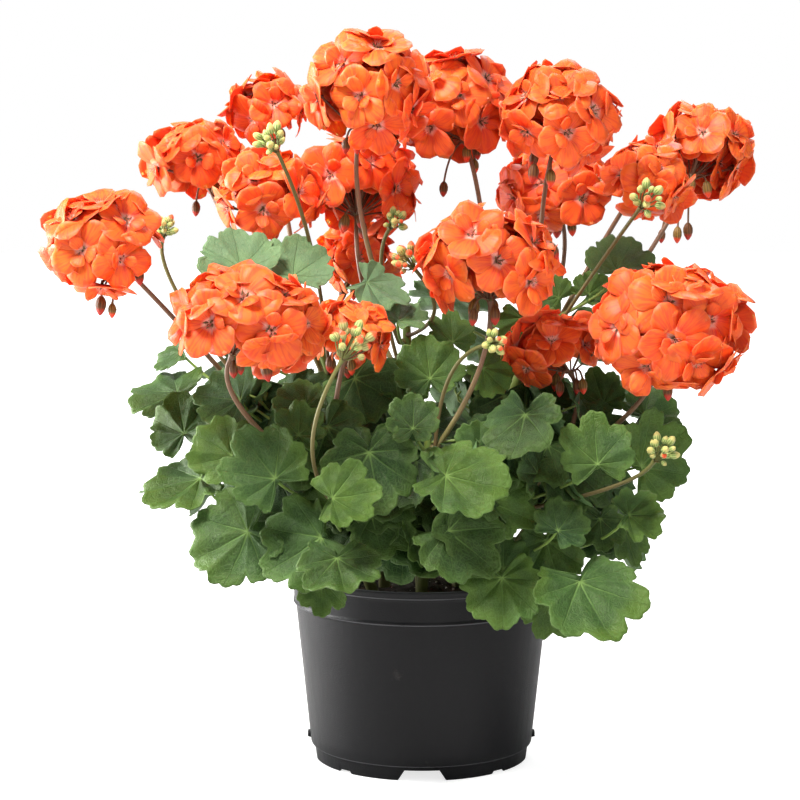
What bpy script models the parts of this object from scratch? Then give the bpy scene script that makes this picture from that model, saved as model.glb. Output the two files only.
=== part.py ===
import math
import random

import bmesh
import bpy
from mathutils import Matrix, Vector

for old in list(bpy.data.objects):
    bpy.data.objects.remove(old, do_unlink=True)

# Lengths are in millimetres here and become metres in place() and the mesh helpers.
MM = 0.001
GAP = 0.3

# The pot's axis stands off the origin, so that the whole plant is centred on it.
POT_X = 6.5
POT_Y = -1.5

POT_SIDES = 32
# Radius and height along the pot's section: down the outside, under the floor, up the inside.
POT_SECTION = (
    (99.6, 146.5), (99.4, 144.0), (97.4, 140.5), (97.1, 121.0), (95.6, 119.5), (84.2, 11.8),
    (81.6, 10.2), (81.1, 0.0), (79.3, 0.0), (79.8, 10.2), (0.0, 10.2), (0.0, 12.0), (82.4, 12.0),
    (94.1, 120.1), (95.8, 121.7), (96.1, 141.0), (98.0, 146.5),
)
NOTCHES = 4
NOTCH_WIDTH = 36.0
NOTCH_TOP_WIDTH = 26.0
NOTCH_HEIGHT = 8.0
DRAIN_RADIUS = 5.0
DRAIN_REACH = 66.0

SOIL_SECTION = (
    (0.0, 128.5), (60.0, 127.0), (93.5, 124.0), (93.5, 118.5), (82.1, 12.0 + GAP), (0.0, 12.0 + GAP),
)
STEM_FOOT = 95.5

LEAF_RIM = 12
LEAF_THICKNESS = 1.0
PETIOLE_RADIUS = 1.3

# Each leafy stem: x, y, z and radius of the points of its line, from its foot in the soil.
STEMS = {
    "01": ((-52, 0, STEM_FOOT, 4.8), (-52, 0, 133, 4.8), (-78, -8, 190, 4.4), (-106, -18, 245, 3.8), (-118, -20, 282, 3.0)),
    "02": ((-36, -38, STEM_FOOT, 4.8), (-36, -38, 133, 4.8), (-52, -58, 180, 4.4), (-68, -74, 228, 3.8), (-74, -80, 262, 3.0)),
    "03": ((0, -54, STEM_FOOT, 4.8), (0, -54, 133, 4.8), (2, -68, 180, 4.4), (4, -78, 225, 3.8), (4, -80, 262, 3.0)),
    "04": ((38, -38, STEM_FOOT, 4.8), (38, -38, 133, 4.8), (55, -54, 172, 4.4), (72, -66, 212, 3.8), (80, -70, 245, 3.0)),
    "05": ((52, 2, STEM_FOOT, 4.8), (52, 2, 133, 4.8), (80, -6, 175, 4.4), (105, -12, 222, 3.8), (116, -14, 258, 3.0)),
    "06": ((-28, 14, STEM_FOOT, 5.0), (-28, 14, 133, 5.0), (-44, 8, 220, 4.6), (-72, -6, 305, 4.0), (-92, -12, 352, 3.0)),
    "07": ((0, -12, STEM_FOOT, 5.0), (0, -12, 133, 5.0), (-5, -16, 230, 4.6), (-10, -16, 300, 4.0), (-12, -12, 345, 3.0)),
    "08": ((28, 14, STEM_FOOT, 5.0), (28, 14, 133, 5.0), (46, 6, 220, 4.6), (76, -4, 300, 4.0), (98, 0, 342, 3.0)),
    "09": ((-30, 48, STEM_FOOT, 4.8), (-30, 48, 133, 4.8), (-50, 78, 195, 4.4), (-74, 98, 262, 3.8), (-84, 106, 318, 3.0)),
    "10": ((30, 48, STEM_FOOT, 4.8), (30, 48, 133, 4.8), (50, 78, 195, 4.4), (76, 96, 262, 3.8), (90, 104, 318, 3.0)),
}

# Each leaf: x, y, z of the place where its stalk meets the blade, width, and in degrees the bearing
# that its upper face looks to, how far that face looks up, and the turn of its tip (0 down, 90 right).
LEAVES = {
    "01": (
        (-184, -5, 280, 60, -140, 60, -80), (-175, -50, 256, 54, -120, 38, -150), (-184, 30, 306, 35, -150, 45, -60),
        (-133, -70, 284, 51, -105, 38, -95), (-162, -80, 228, 70, -130, 58, -60), (-138, -100, 248, 51, -110, 28, -115),
        (-150, 15, 220, 63, 175, 30, 0), (-112, -56, 196, 60, -125, 18, 0),
    ),
    "02": (
        (-105, -142, 238, 60, -95, 22, -140), (-125, -122, 196, 71, -112, 20, -58), (-72, -135, 194, 68, -100, 25, -55),
        (-60, -158, 184, 56, -88, 40, 5), (-73, -108, 158, 37, -95, 12, 0), (-89, -112, 264, 37, -95, 25, 180),
        (-97, -92, 214, 59, -105, 18, 5),
        (-64, -168, 229, 48, -85, 35, 100), (-85, -84, 281, 38, -95, 42, -130),
    ),
    "03": (
        (-38, -130, 255, 67, -90, 15, 10), (-37, -118, 206, 50, -85, 20, 55), (16, -150, 241, 70, -80, 38, 60),
        (-7, -128, 272, 37, -95, 30, 180), (41, -95, 247, 39, -85, 25, 175), (18, -138, 200, 62, -85, 22, 48),
        (-28, -84, 226, 65, -95, 18, 10), (34, -84, 196, 63, -80, 15, -10),
        (47, -112, 218, 52, -70, 20, 60), (-8, -112, 196, 41, -25, 20, 0),
    ),
    "04": (
        (59, -104, 164, 39, -90, 28, 180), (57, -138, 166, 58, -90, 25, 0), (96, -125, 197, 40, -80, 35, 140),
        (113, -138, 163, 76, -80, 24, 20), (94, -98, 143, 48, -75, -12, 28), (125, -128, 246, 52, -88, 24, 183),
        (84, -93, 232, 50, -35, 15, 170),
        (91, -86, 182, 54, -75, 18, 10),
    ),
    "05": (
        (131, -72, 196, 35, -80, 15, 0), (150, -60, 187, 41, -50, 15, 5), (149, -108, 206, 41, -70, 42, 85),
        (162, -45, 230, 65, -62, 12, 120), (167, -15, 264, 45, -60, 48, 100), (136, -15, 274, 37, -95, 18, -160),
        (150, 0, 188, 54, -8, 20, 0),
    ),
    "06": (
        (-132, -66, 380, 57, -95, 52, 195), (-94, -64, 374, 53, -85, 45, 172), (-110, -20, 350, 35, -100, 40, 150),
    ),
    "07": (
        (-41, -50, 368, 46, -60, 48, 50), (-18, -57, 341, 37, -90, 66, 150), (5, -74, 300, 49, -95, 28, 188),
        (22, -48, 324, 35, -80, 38, 175), (-50, -50, 297, 58, -90, 25, 60), (-18, -46, 300, 39, -85, 30, 45),
    ),
    "08": (
        (146, -6, 372, 51, -80, 50, 150), (126, 10, 353, 33, -70, 48, 120), (104, 8, 350, 31, -100, 25, -120),
        (76, 0, 336, 40, -88, 16, 0), (44, -62, 306, 37, -60, 25, 40), (96, -30, 279, 30, -80, 20, 160),
        (92, 50, 324, 50, 60, 45, 0),
    ),
}

# The leaves of the two stems at the back follow a rule, each stem over its own range of bearings.
BACK_STEMS = {"09": (95.0, 165.0), "10": (20.0, 85.0)}
BACK_LEAVES = 9
GOLDEN = 0.618034

# Each head: leafy stem, height at which its stalk leaves that stem, a place on the way, its centre,
# its half width, half depth and half height, and its number of florets.
HEADS = {
    "a": ("01", 262, (-168, -48, 325), (-229, -95, 399), (47, 45, 42), 11),
    "b": ("06", 320, (-128, 25, 372), (-173, 78, 449), (45, 43, 33), 11),
    "c": ("09", 300, (-104, 105, 400), (-117, 108, 488), (35, 34, 30), 10),
    "d": ("06", 292, (-104, 18, 362), (-112, 0, 428), (46, 41, 36), 11),
    "e": ("07", 320, (-44, -28, 410), (-40, -42, 508), (49, 45, 51), 11),
    "f": ("08", 262, (48, 10, 390), (23, 38, 493), (48, 43, 47), 11),
    "g": ("07", 290, (-42, 15, 350), (-48, 56, 432), (52, 43, 43), 11),
    "h": ("08", 328, (88, -20, 400), (100, -62, 489), (47, 43, 45), 11),
    "i": ("10", 290, (108, 80, 355), (104, 66, 425), (49, 43, 34), 11),
    "j": ("08", 288, (135, 32, 385), (168, 5, 438), (36, 36, 36), 10),
    "k": ("10", 275, (150, 55, 345), (218, 92, 453), (45, 43, 41), 11),
    "l": ("03", 250, (40, -88, 306), (47, -92, 387), (54, 45, 45), 11),
    "m": ("02", 225, (-128, -118, 282), (-124, -135, 349), (60, 49, 43), 11),
    "n": ("02", 250, (-62, -88, 290), (-51, -91, 334), (33, 31, 30), 10),
    "o": ("05", 235, (155, -42, 272), (179, -90, 338), (62, 51, 54), 11),
    "p": ("04", 215, (110, -56, 262), (102, -38, 317), (48, 29, 32), 10),
    "q": ("09", 262, (-50, 120, 310), (-50, 112, 368), (35, 32, 32), 9),
    "r": ("09", 310, (-50, 140, 365), (-46, 150, 430), (41, 36, 36), 10),
    "s": ("10", 265, (90, 130, 348), (106, 152, 432), (41, 39, 36), 10),
}
CORE_RADIUS = 12.0
STALK_RADIUS = 1.7

# Each cluster of buds: leafy stem, height at which its stalk leaves it, a place on the way, its centre,
# its radius and its number of buds.
BUDS = {
    "a": ("06", 290, (-80, -35, 384), (-109, -74, 474), 17, 5),
    "b": ("01", 275, (-178, -20, 350), (-190, -30, 407), 13, 4),
    "c": ("02", 205, (-78, -157, 262), (-50, -170, 338), 22, 6),
    "d": ("07", 325, (9, -52, 348), (-12, -73, 388), 15, 5),
    "e": ("07", 300, (-30, -10, 366), (-20, -30, 412), 13, 4),
    "f": ("08", 296, (114, -12, 350), (162, -78, 432), 17, 5),
    "g": ("04", 205, (138, -86, 222), (172, -105, 252), 16, 5),
    "h": ("03", 235, (18, -92, 300), (50, -135, 334), 13, 4),
}


def place(x, y, z):
    """A place given in millimetres from the pot's axis, in metres."""
    return Vector((x + POT_X, y + POT_Y, z)) * MM


def compass(degrees, up=0.0):
    """The direction of a bearing round the pot, raised by an angle."""
    turn = math.radians(degrees)
    lift = math.radians(up)
    return Vector((math.cos(turn) * math.cos(lift), math.sin(turn) * math.cos(lift), math.sin(lift)))


def principled(name, colour, roughness):
    material = bpy.data.materials.new(name)
    material.use_nodes = True
    shader = material.node_tree.nodes["Principled BSDF"]
    shader.inputs["Base Color"].default_value = (*colour, 1.0)
    shader.inputs["Roughness"].default_value = roughness
    return material


def new_object(name, mesh, collection, material=None):
    thing = bpy.data.objects.new(name, mesh)
    collection.objects.link(thing)
    if material:
        mesh.materials.clear()
        mesh.materials.append(material)
    return thing


def settled(thing):
    """The mesh of an object with its modifiers or its bevel worked in."""
    bpy.context.view_layer.update()
    graph = bpy.context.evaluated_depsgraph_get()
    return bpy.data.meshes.new_from_object(thing.evaluated_get(graph))


def lathe(name, section, sides, collection):
    """A section turned about the pot's axis into a closed body."""
    mesh = bpy.data.meshes.new(name)
    points = [(radius * MM, 0.0, height * MM) for radius, height in section]
    edges = [(i, i + 1) for i in range(len(points) - 1)]
    if section[0][0] > 0:
        edges.append((len(points) - 1, 0))
    mesh.from_pydata(points, edges, [])
    thing = new_object(name, mesh, collection)
    thing.location = place(0, 0, 0)
    screw = thing.modifiers.new("turn", "SCREW")
    screw.steps = sides
    screw.render_steps = sides
    screw.use_merge_vertices = True
    screw.merge_threshold = 0.00001
    screw.use_smooth_shade = True
    weld = thing.modifiers.new("axis", "WELD")
    weld.merge_threshold = 0.00001
    return thing


def cut(thing, cutter, name):
    modifier = thing.modifiers.new(name, "BOOLEAN")
    modifier.operation = "DIFFERENCE"
    modifier.solver = "EXACT"
    modifier.object = cutter
    return modifier


def notch_cutter(collection):
    """Wedges that open the foot ring, and the drain holes above them."""
    shape = bmesh.new()
    for index in range(NOTCHES):
        turn = Matrix.Rotation(math.radians(-90 + index * 360 / NOTCHES), 4, "Z")
        made = bmesh.ops.create_cube(shape, size=1.0)
        for vert in made["verts"]:
            width = NOTCH_TOP_WIDTH if vert.co.z > 0 else NOTCH_WIDTH
            height = NOTCH_HEIGHT if vert.co.z > 0 else -2.0
            if vert.co.z < 0:
                width += 2.0 * (NOTCH_WIDTH - NOTCH_TOP_WIDTH) / NOTCH_HEIGHT
            vert.co = turn @ Vector(((83.0 + vert.co.x * 16.0) * MM, vert.co.y * width * MM, height * MM))
        bmesh.ops.create_cone(
            shape, cap_ends=True, segments=6, radius1=DRAIN_RADIUS * MM, radius2=DRAIN_RADIUS * MM,
            depth=3.0 * MM, matrix=turn @ Matrix.Translation((DRAIN_REACH * MM, 0, 11.0 * MM)),
        )
    mesh = bpy.data.meshes.new("foot notches")
    shape.to_mesh(mesh)
    shape.free()
    cutter = new_object("foot notches", mesh, collection)
    cutter.location = place(0, 0, 0)
    return cutter


def make_pot(collection, cutters):
    pot = lathe("pot", POT_SECTION, POT_SIDES, collection)
    pot.data.materials.append(principled("black plastic", (0.03, 0.03, 0.032), 0.4))
    cut(pot, notch_cutter(cutters), "drainage")
    return pot


def hole_cutter(collection):
    """A plain round hole in the soil for each stem."""
    shape = bmesh.new()
    for line in STEMS.values():
        x, y, foot, radius = line[0]
        wide = (radius + GAP + 0.05) / math.cos(math.pi / 6)
        low = foot - GAP
        bmesh.ops.create_cone(
            shape, cap_ends=True, segments=6, radius1=wide * MM, radius2=wide * MM,
            depth=60.0 * MM, matrix=Matrix.Translation(place(x, y, low + 30.0)),
        )
    mesh = bpy.data.meshes.new("stem holes")
    shape.to_mesh(mesh)
    shape.free()
    return new_object("stem holes", mesh, collection)


def make_soil(collection, cutters):
    soil = lathe("soil", SOIL_SECTION, POT_SIDES, collection)
    soil.data.materials.append(principled("potting soil", (0.035, 0.022, 0.015), 0.95))
    cut(soil, hole_cutter(cutters), "holes")
    return soil


def tube(name, line, resolution, collection):
    """A round, capped tube through the points (place in metres, radius in millimetres)."""
    curve = bpy.data.curves.new(name, "CURVE")
    curve.dimensions = "3D"
    curve.bevel_depth = MM
    curve.bevel_resolution = resolution
    curve.use_fill_caps = True
    spline = curve.splines.new("POLY")
    spline.points.add(len(line) - 1)
    for point, (spot, radius) in zip(spline.points, line):
        point.co = (*spot, 1.0)
        point.radius = radius
    holder = bpy.data.objects.new(name, curve)
    collection.objects.link(holder)
    mesh = settled(holder)
    bpy.data.objects.remove(holder)
    shape = bmesh.new()
    shape.from_mesh(mesh)
    bmesh.ops.remove_doubles(shape, verts=shape.verts, dist=0.00001)
    bmesh.ops.recalc_face_normals(shape, faces=shape.faces)
    shape.to_mesh(mesh)
    shape.free()
    return new_object(name, mesh, collection)


def bezier(start, middle, end, steps):
    """Points along a curve that passes the middle place halfway."""
    pull = middle * 2.0 - (start + end) * 0.5
    return [start.lerp(pull, t).lerp(pull.lerp(end, t), t) for t in (i / steps for i in range(steps + 1))]


def fused(name, parts, material, collection):
    """All the parts as one body."""
    others = bpy.data.collections.new(name + " parts")
    bpy.context.scene.collection.children.link(others)
    for part in parts[1:]:
        for owner in list(part.users_collection):
            owner.objects.unlink(part)
        others.objects.link(part)
    union = parts[0].modifiers.new("fuse", "BOOLEAN")
    union.operation = "UNION"
    union.operand_type = "COLLECTION"
    union.collection = others
    union.solver = "MANIFOLD"
    mesh = settled(parts[0])
    for part in parts:
        bpy.data.objects.remove(part)
    bpy.data.collections.remove(others)
    mesh.name = name
    return new_object(name, mesh, collection, material)


def on_stem(stem, height):
    """The middle of a leafy stem and its radius at a height."""
    line = STEMS[stem]
    for low, high in zip(line, line[1:]):
        if height <= high[2]:
            t = (height - low[2]) / (high[2] - low[2])
            return Vector(low[:3]).lerp(Vector(high[:3]), t), low[3] + (high[3] - low[3]) * t
    return Vector(line[-1][:3]), line[-1][3]


def blade_frame(facing, lift, roll):
    """The directions of a blade: its tip, its side and its upper face."""
    face = compass(facing, lift)
    down = (Vector((0, 0, -1)) + face * face.z).normalized()
    right = face.cross(down)
    turn = math.radians(roll)
    tip = down * math.cos(turn) + right * math.sin(turn)
    return tip, face.cross(tip), face


def leaf_solid(name, stem, leaf, chance, collection):
    """A round, lobed blade with a deep cleft, and its stalk, which comes up under it from the stem."""
    x, y, z, width, facing, lift, roll = leaf
    tip, side, face = blade_frame(facing, lift, roll)
    middle = Vector((x, y, z))
    wave = chance.uniform(0, math.tau)
    rim = []
    for step in range(LEAF_RIM):
        turn = step * math.tau / LEAF_RIM
        reach = width * (0.51 + 0.10 * math.cos(turn)) * (1.05 if step % 2 == 0 else 0.95)
        if step == LEAF_RIM // 2:
            reach = 0.14 * width
        rise = 0.24 * reach * reach / width + 0.025 * width * math.cos(3 * turn + wave)
        rim.append(middle + tip * (reach * math.cos(turn)) + side * (reach * math.sin(turn)) + face * rise)

    away = (middle.xy - on_stem(stem, z)[0].xy).length
    top = STEMS[stem][-1][2]
    root = on_stem(stem, max(156.0, min(top - 8.0, z - 0.55 * away)))[0]
    hub = middle - face * LEAF_THICKNESS
    pull = hub - face * (0.4 * (hub - root).length)
    bend = root.lerp(pull, 0.5).lerp(pull.lerp(hub, 0.5), 0.5)

    shape = bmesh.new()
    rings = [[shape.verts.new(place(*middle))]]
    rings.append([shape.verts.new(place(*spot)) for spot in rim])
    rings.append([shape.verts.new(place(*(spot - face * LEAF_THICKNESS))) for spot in rim])
    across = tip
    for spot, heading in ((hub, -face), (bend, (root - hub).normalized()), (root, (root - bend).normalized())):
        across = (across - heading * across.dot(heading)).normalized()
        beside = across.cross(heading)
        ring = []
        for step in range(4):
            turn = math.tau * (step + 0.5) / 4
            turned = across * math.cos(turn) + beside * math.sin(turn)
            ring.append(shape.verts.new(place(*(spot + turned * PETIOLE_RADIUS))))
        rings.append(ring)
    skin(shape, rings)
    shape.faces.new(rings[-1])
    return finished(name, shape, collection)


def back_leaves(stem, chance):
    """The leaves of a stem at the back, low ones hanging and high ones facing up."""
    first, last = BACK_STEMS[stem]
    leaves = []
    for index in range(BACK_LEAVES):
        share = (index + 0.5) / BACK_LEAVES
        bearing = first + (last - first) * ((index * GOLDEN) % 1.0)
        height = 165.0 + 185.0 * share
        reach = 118.0 + 50.0 * math.sin(math.pi * (0.25 + 0.6 * share))
        spot = compass(bearing) * reach
        width = chance.uniform(54.0, 70.0)
        facing = bearing + chance.uniform(-12.0, 12.0)
        lift = 18.0 + 30.0 * share + chance.uniform(-6.0, 6.0)
        roll = chance.uniform(-30.0, 30.0)
        leaves.append((spot.x, spot.y, height, width, facing, lift, roll))
    return leaves


def make_leafy_stem(stem, material, collection):
    name = "leafy_stem_" + stem
    chance = random.Random("leaves " + stem)
    parts = [tube(name, [(place(x, y, z), r) for x, y, z, r in STEMS[stem]], 1, collection)]
    leaves = LEAVES[stem] if stem in LEAVES else back_leaves(stem, chance)
    for index, leaf in enumerate(leaves):
        parts.append(leaf_solid(f"{name} leaf {index}", stem, leaf, chance, collection))
    return fused(name, parts, material, collection)


def stalk_line(stem, height, via, end, shorten):
    """The line of a flower stalk, from its foot beside the leafy stem to just under its head."""
    middle, radius = on_stem(stem, height)
    along = (on_stem(stem, height + 2.0)[0] - on_stem(stem, height - 2.0)[0]).normalized()
    outward = Vector((via[0] - middle.x, via[1] - middle.y, 0))
    outward = (outward - along * outward.dot(along)).normalized()
    foot = middle + outward * (radius + GAP)
    bend = foot + outward * 2.6
    via = Vector(via)
    end = Vector(end)
    pull = via * 2.0 - (bend + end) * 0.5
    heading = (end - pull).normalized()
    top = end - heading * shorten
    return [foot] + bezier(bend, via, top - heading * 3.5, 3) + [top], heading


def droplet(name, start, end, wide, collection):
    """A bud on its thin stalk: a slim cone that swells near its end."""
    axis = end - start
    turn = axis.to_track_quat("Z", "Y")
    shape = bmesh.new()
    rings = []
    for share, radius in ((0.0, 0.0), (0.55, 0.8), (0.8, wide), (1.0, 0.0)):
        spot = start + axis * share
        count = 1 if radius == 0 else 4
        ring = []
        for index in range(count):
            turned = turn @ Vector((math.cos(index * math.tau / 4) * radius, math.sin(index * math.tau / 4) * radius, 0))
            ring.append(shape.verts.new(place(*(spot + turned))))
        rings.append(ring)
    skin(shape, rings)
    return finished(name, shape, collection)


def skin(shape, rings):
    """Faces between rings of points; a ring may be a point, or have fewer points than the one before."""
    for low, high in zip(rings, rings[1:]):
        count = max(len(low), len(high))
        for index in range(count):
            follow = (index + 1) % count
            if len(low) == 1:
                shape.faces.new((low[0], high[follow], high[index]))
            elif len(high) == 1:
                shape.faces.new((low[index], low[follow], high[0]))
            elif len(low) == len(high):
                shape.faces.new((low[index], low[follow], high[follow], high[index]))
            else:
                group = count // len(high)
                near = high[index // group]
                shape.faces.new((low[index], low[follow], near))
                if follow % group == 0:
                    shape.faces.new((low[follow], high[(index // group + 1) % len(high)], near))


def finished(name, shape, collection):
    bmesh.ops.recalc_face_normals(shape, faces=shape.faces)
    mesh = bpy.data.meshes.new(name)
    shape.to_mesh(mesh)
    shape.free()
    return new_object(name, mesh, collection)


def make_stalk(letter, material, collection):
    name = "flower_stalk_" + letter
    stem, height, via, centre, half, florets = HEADS[letter]
    points, heading = stalk_line(stem, height, via, centre, 0.795 * CORE_RADIUS + GAP)
    radii = [STALK_RADIUS] * (len(points) - 1) + [STALK_RADIUS + 1.3]
    stalk = tube(name, [(place(*spot), r) for spot, r in zip(points, radii)], 0, collection)
    stalk.data.materials.append(material)
    return stalk


def sphere_points(count, low):
    """Directions spread evenly from the top of a ball down to a lower limit."""
    spread = []
    for index in range(count):
        z = 1.0 - (1.0 - low) * (index + 0.35) / count
        flat = math.sqrt(max(0.0, 1.0 - z * z))
        turn = index * math.tau * GOLDEN
        spread.append(Vector((flat * math.cos(turn), flat * math.sin(turn), z)))
    return spread


def twelve_sided(radius):
    """The corners of a regular twelve-sided ball, one side down, and the loops of its five-cornered sides."""
    shape = bmesh.new()
    bmesh.ops.create_icosphere(shape, subdivisions=1, radius=1.0)
    corners = [face.calc_center_median().normalized() * radius for face in shape.faces]
    sides = []
    for vert in shape.verts:
        axis = vert.co.normalized()
        first = axis.orthogonal().normalized()
        second = axis.cross(first)
        ring = sorted(vert.link_faces, key=lambda face: math.atan2(
            face.calc_center_median().dot(second), face.calc_center_median().dot(first)))
        sides.append((axis.copy(), [face.index for face in ring]))
    shape.free()
    return corners, sides


def make_head(letter, material, collection):
    """A ball of florets, each a funnel of five blunt petals that widens from one side of a small core."""
    name = "flower_head_" + letter
    stem, height, via, centre, half, florets = HEADS[letter]
    chance = random.Random("head " + letter)
    heading = stalk_line(stem, height, via, centre, 0.795 * CORE_RADIUS + GAP)[1]
    turn = heading.to_track_quat("Z", "Y")
    middle = Vector(centre)
    size = 0.49
    reach = 0.87
    shape = bmesh.new()
    corners, sides = twelve_sided(CORE_RADIUS)
    sides.sort(key=lambda entry: entry[0].z)
    core = [shape.verts.new(place(*(middle + turn @ corner))) for corner in corners]
    for order, (axis, loop) in enumerate(sides):
        neck = [core[index] for index in loop]
        if order < 12 - florets:
            shape.faces.new(neck)
            continue
        first = corners[loop[0]] - axis * corners[loop[0]].dot(axis)
        first.normalize()
        second = axis.cross(first)
        tilt = axis + first * chance.uniform(-0.015, 0.015) + second * chance.uniform(-0.015, 0.015)
        spin = chance.uniform(-0.25, 0.25)
        lengthen = chance.uniform(0.94, 1.03)

        def at(wide, angle, out):
            flat = (first * math.cos(angle) + second * math.sin(angle)) * wide
            unit = turn @ (tilt * out + flat) * lengthen
            return place(*(middle + Vector(a * b for a, b in zip(unit, half))))

        throat = shape.verts.new(at(0, 0, reach - 0.30 * size))
        rim = []
        for petal in range(5):
            aim = spin + petal * math.tau / 5
            rim.append(shape.verts.new(at(size, aim - 0.42, reach - 0.05 * size)))
            rim.append(shape.verts.new(at(size, aim + 0.42, reach + 0.05 * size)))
            rim.append(shape.verts.new(at(0.72 * size, aim + math.tau / 10, reach - 0.14 * size)))
        for petal in range(5):
            near, far, cleft = rim[petal * 3:petal * 3 + 3]
            beyond = rim[(petal * 3 + 3) % 15]
            following = neck[(petal + 1) % 5]
            shape.faces.new((throat, near, far))
            shape.faces.new((throat, far, cleft))
            shape.faces.new((throat, cleft, beyond))
            shape.faces.new((neck[petal], far, near))
            shape.faces.new((neck[petal], cleft, far))
            shape.faces.new((neck[petal], following, cleft))
            shape.faces.new((following, beyond, cleft))
    head = finished(name, shape, collection)
    head.data.materials.append(material)
    return head


def make_bud_cluster(letter, material, collection):
    name = "bud_cluster_" + letter
    stem, height, via, centre, radius, buds = BUDS[letter]
    chance = random.Random("buds " + letter)
    points, heading = stalk_line(stem, height, via, centre, 0.6 * radius)
    parts = [tube(name, [(place(*spot), 1.5) for spot in points], 0, collection)]
    turn = heading.to_track_quat("Z", "Y")
    start = points[-1] - heading * 1.5
    for index, direction in enumerate(sphere_points(buds, 0.0)):
        end = Vector(centre) + turn @ direction * radius
        parts.append(droplet(f"{name} bud {index}", start, end, 0.17 * radius + 0.6, collection))
    return fused(name, parts, material, collection)


plant = bpy.data.collections.new("potted geranium")
cutters = bpy.data.collections.new("cutters")
bpy.context.scene.collection.children.link(plant)
bpy.context.scene.collection.children.link(cutters)

leaf_green = principled("leaf green", (0.13, 0.24, 0.07), 0.6)
stalk_brown = principled("stalk brown green", (0.22, 0.16, 0.06), 0.55)
petal_orange = principled("petal orange", (0.9, 0.16, 0.03), 0.5)
bud_green = principled("bud green", (0.3, 0.42, 0.1), 0.6)

make_pot(plant, cutters)
make_soil(plant, cutters)
for stem in STEMS:
    make_leafy_stem(stem, leaf_green, plant)
for letter in HEADS:
    make_stalk(letter, stalk_brown, plant)
    make_head(letter, petal_orange, plant)
for letter in BUDS:
    make_bud_cluster(letter, bud_green, plant)

for cutter in cutters.objects:
    cutter.hide_render = True
    cutter.display_type = "WIRE"
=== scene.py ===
import math
import random

import bmesh
import bpy
import numpy as np
from mathutils import Matrix, Vector, noise


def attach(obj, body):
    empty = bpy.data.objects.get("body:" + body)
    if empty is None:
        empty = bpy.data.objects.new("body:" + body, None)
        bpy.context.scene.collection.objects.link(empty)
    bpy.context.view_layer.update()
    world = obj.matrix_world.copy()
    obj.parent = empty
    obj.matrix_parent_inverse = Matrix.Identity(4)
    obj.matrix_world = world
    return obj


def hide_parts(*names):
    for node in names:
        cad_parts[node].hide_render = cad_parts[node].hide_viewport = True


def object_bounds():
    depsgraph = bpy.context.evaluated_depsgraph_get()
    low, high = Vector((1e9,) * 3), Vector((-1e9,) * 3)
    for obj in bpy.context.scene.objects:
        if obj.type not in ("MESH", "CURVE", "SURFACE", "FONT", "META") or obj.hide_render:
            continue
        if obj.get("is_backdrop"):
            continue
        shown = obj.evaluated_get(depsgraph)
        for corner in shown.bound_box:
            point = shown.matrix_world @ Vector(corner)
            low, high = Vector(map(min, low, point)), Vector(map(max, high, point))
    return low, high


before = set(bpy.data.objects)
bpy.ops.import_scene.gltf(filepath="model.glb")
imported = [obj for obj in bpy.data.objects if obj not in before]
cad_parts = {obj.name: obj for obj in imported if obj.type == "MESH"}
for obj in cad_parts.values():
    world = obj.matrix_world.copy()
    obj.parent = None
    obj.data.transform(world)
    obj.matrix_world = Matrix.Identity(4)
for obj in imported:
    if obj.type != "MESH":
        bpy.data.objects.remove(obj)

cad_low, cad_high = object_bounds()
scene = bpy.context.scene

# The camera stands 2.3 m in front of the pot and 0.61 m up, and looks a little down through a long lens,
# so that the pot shows its soil only as a thin ellipse under the leaves.
camera_data = bpy.data.cameras.new("camera")
camera_data.sensor_width = 36.0
camera_data.lens = 138.7
camera_data.clip_end = 20.0
camera = bpy.data.objects.new("camera", camera_data)
camera.location = (-0.0098, -2.3015, 0.61)
camera.rotation_euler = (math.radians(90.0 - 8.319), 0.0, 0.0)
scene.collection.objects.link(camera)
scene.camera = camera

# The studio: a white paper floor and white surroundings, one large soft lamp above the left shoulder, weaker
# ones at the right and in front, one from above and behind that lights the edges of the petals, and a low panel
# at the left that draws a soft gleam down the side of the pot.
scene.view_settings.view_transform = "Standard"


def add(tree, kind, values=None, **settings):
    """A node with its settings; a value is a number, or the output or tone that feeds that input."""
    node = tree.nodes.new(kind)
    for key, value in settings.items():
        setattr(node, key, value)
    for key, value in (values or {}).items():
        value = getattr(value, "socket", value)
        if isinstance(value, bpy.types.NodeSocket):
            tree.links.new(value, node.inputs[key])
        else:
            node.inputs[key].default_value = value
    return node


class Tone:
    """A number or colour that changes over a surface. A sum with it is a Math node in its own tree."""

    def __init__(self, tree, socket):
        self.tree, self.socket = tree, socket

    def math(self, operation, *others):
        """A Math node of any kind, with this tone as its first input."""
        values = dict(enumerate((self, *others)))
        return Tone(self.tree, add(self.tree, "ShaderNodeMath", values, operation=operation).outputs[0])

    def __add__(self, other):
        return self.math("ADD", other)

    def __sub__(self, other):
        return self.math("SUBTRACT", other)

    def __rsub__(self, other):
        return Tone(self.tree, add(self.tree, "ShaderNodeMath", {0: other, 1: self}, operation="SUBTRACT").outputs[0])

    def __mul__(self, other):
        return self.math("MULTIPLY", other)

    def __truediv__(self, other):
        return self.math("DIVIDE", other)

    def __abs__(self):
        return self.math("ABSOLUTE")

    def ramp(self, low, high, first=0.0, last=1.0, course="LINEAR"):
        """Goes from first to last while this tone goes from low to high."""
        values = {"Value": self, "From Min": low, "From Max": high, "To Min": first, "To Max": last}
        return Tone(self.tree, add(self.tree, "ShaderNodeMapRange", values, interpolation_type=course).outputs[0])

    def band(self, low, high):
        """Goes softly from nought to one while this tone goes from low to high."""
        return self.ramp(low, high, course="SMOOTHSTEP")

    def mix(self, first, second):
        """The first colour where this tone is nought and the second where it is one."""
        ends = [end if isinstance(end, Tone) else (*end, 1.0) for end in (first, second)]
        values = {0: self, 6: ends[0], 7: ends[1]}
        return Tone(self.tree, add(self.tree, "ShaderNodeMix", values, data_type="RGBA").outputs[2])


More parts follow.
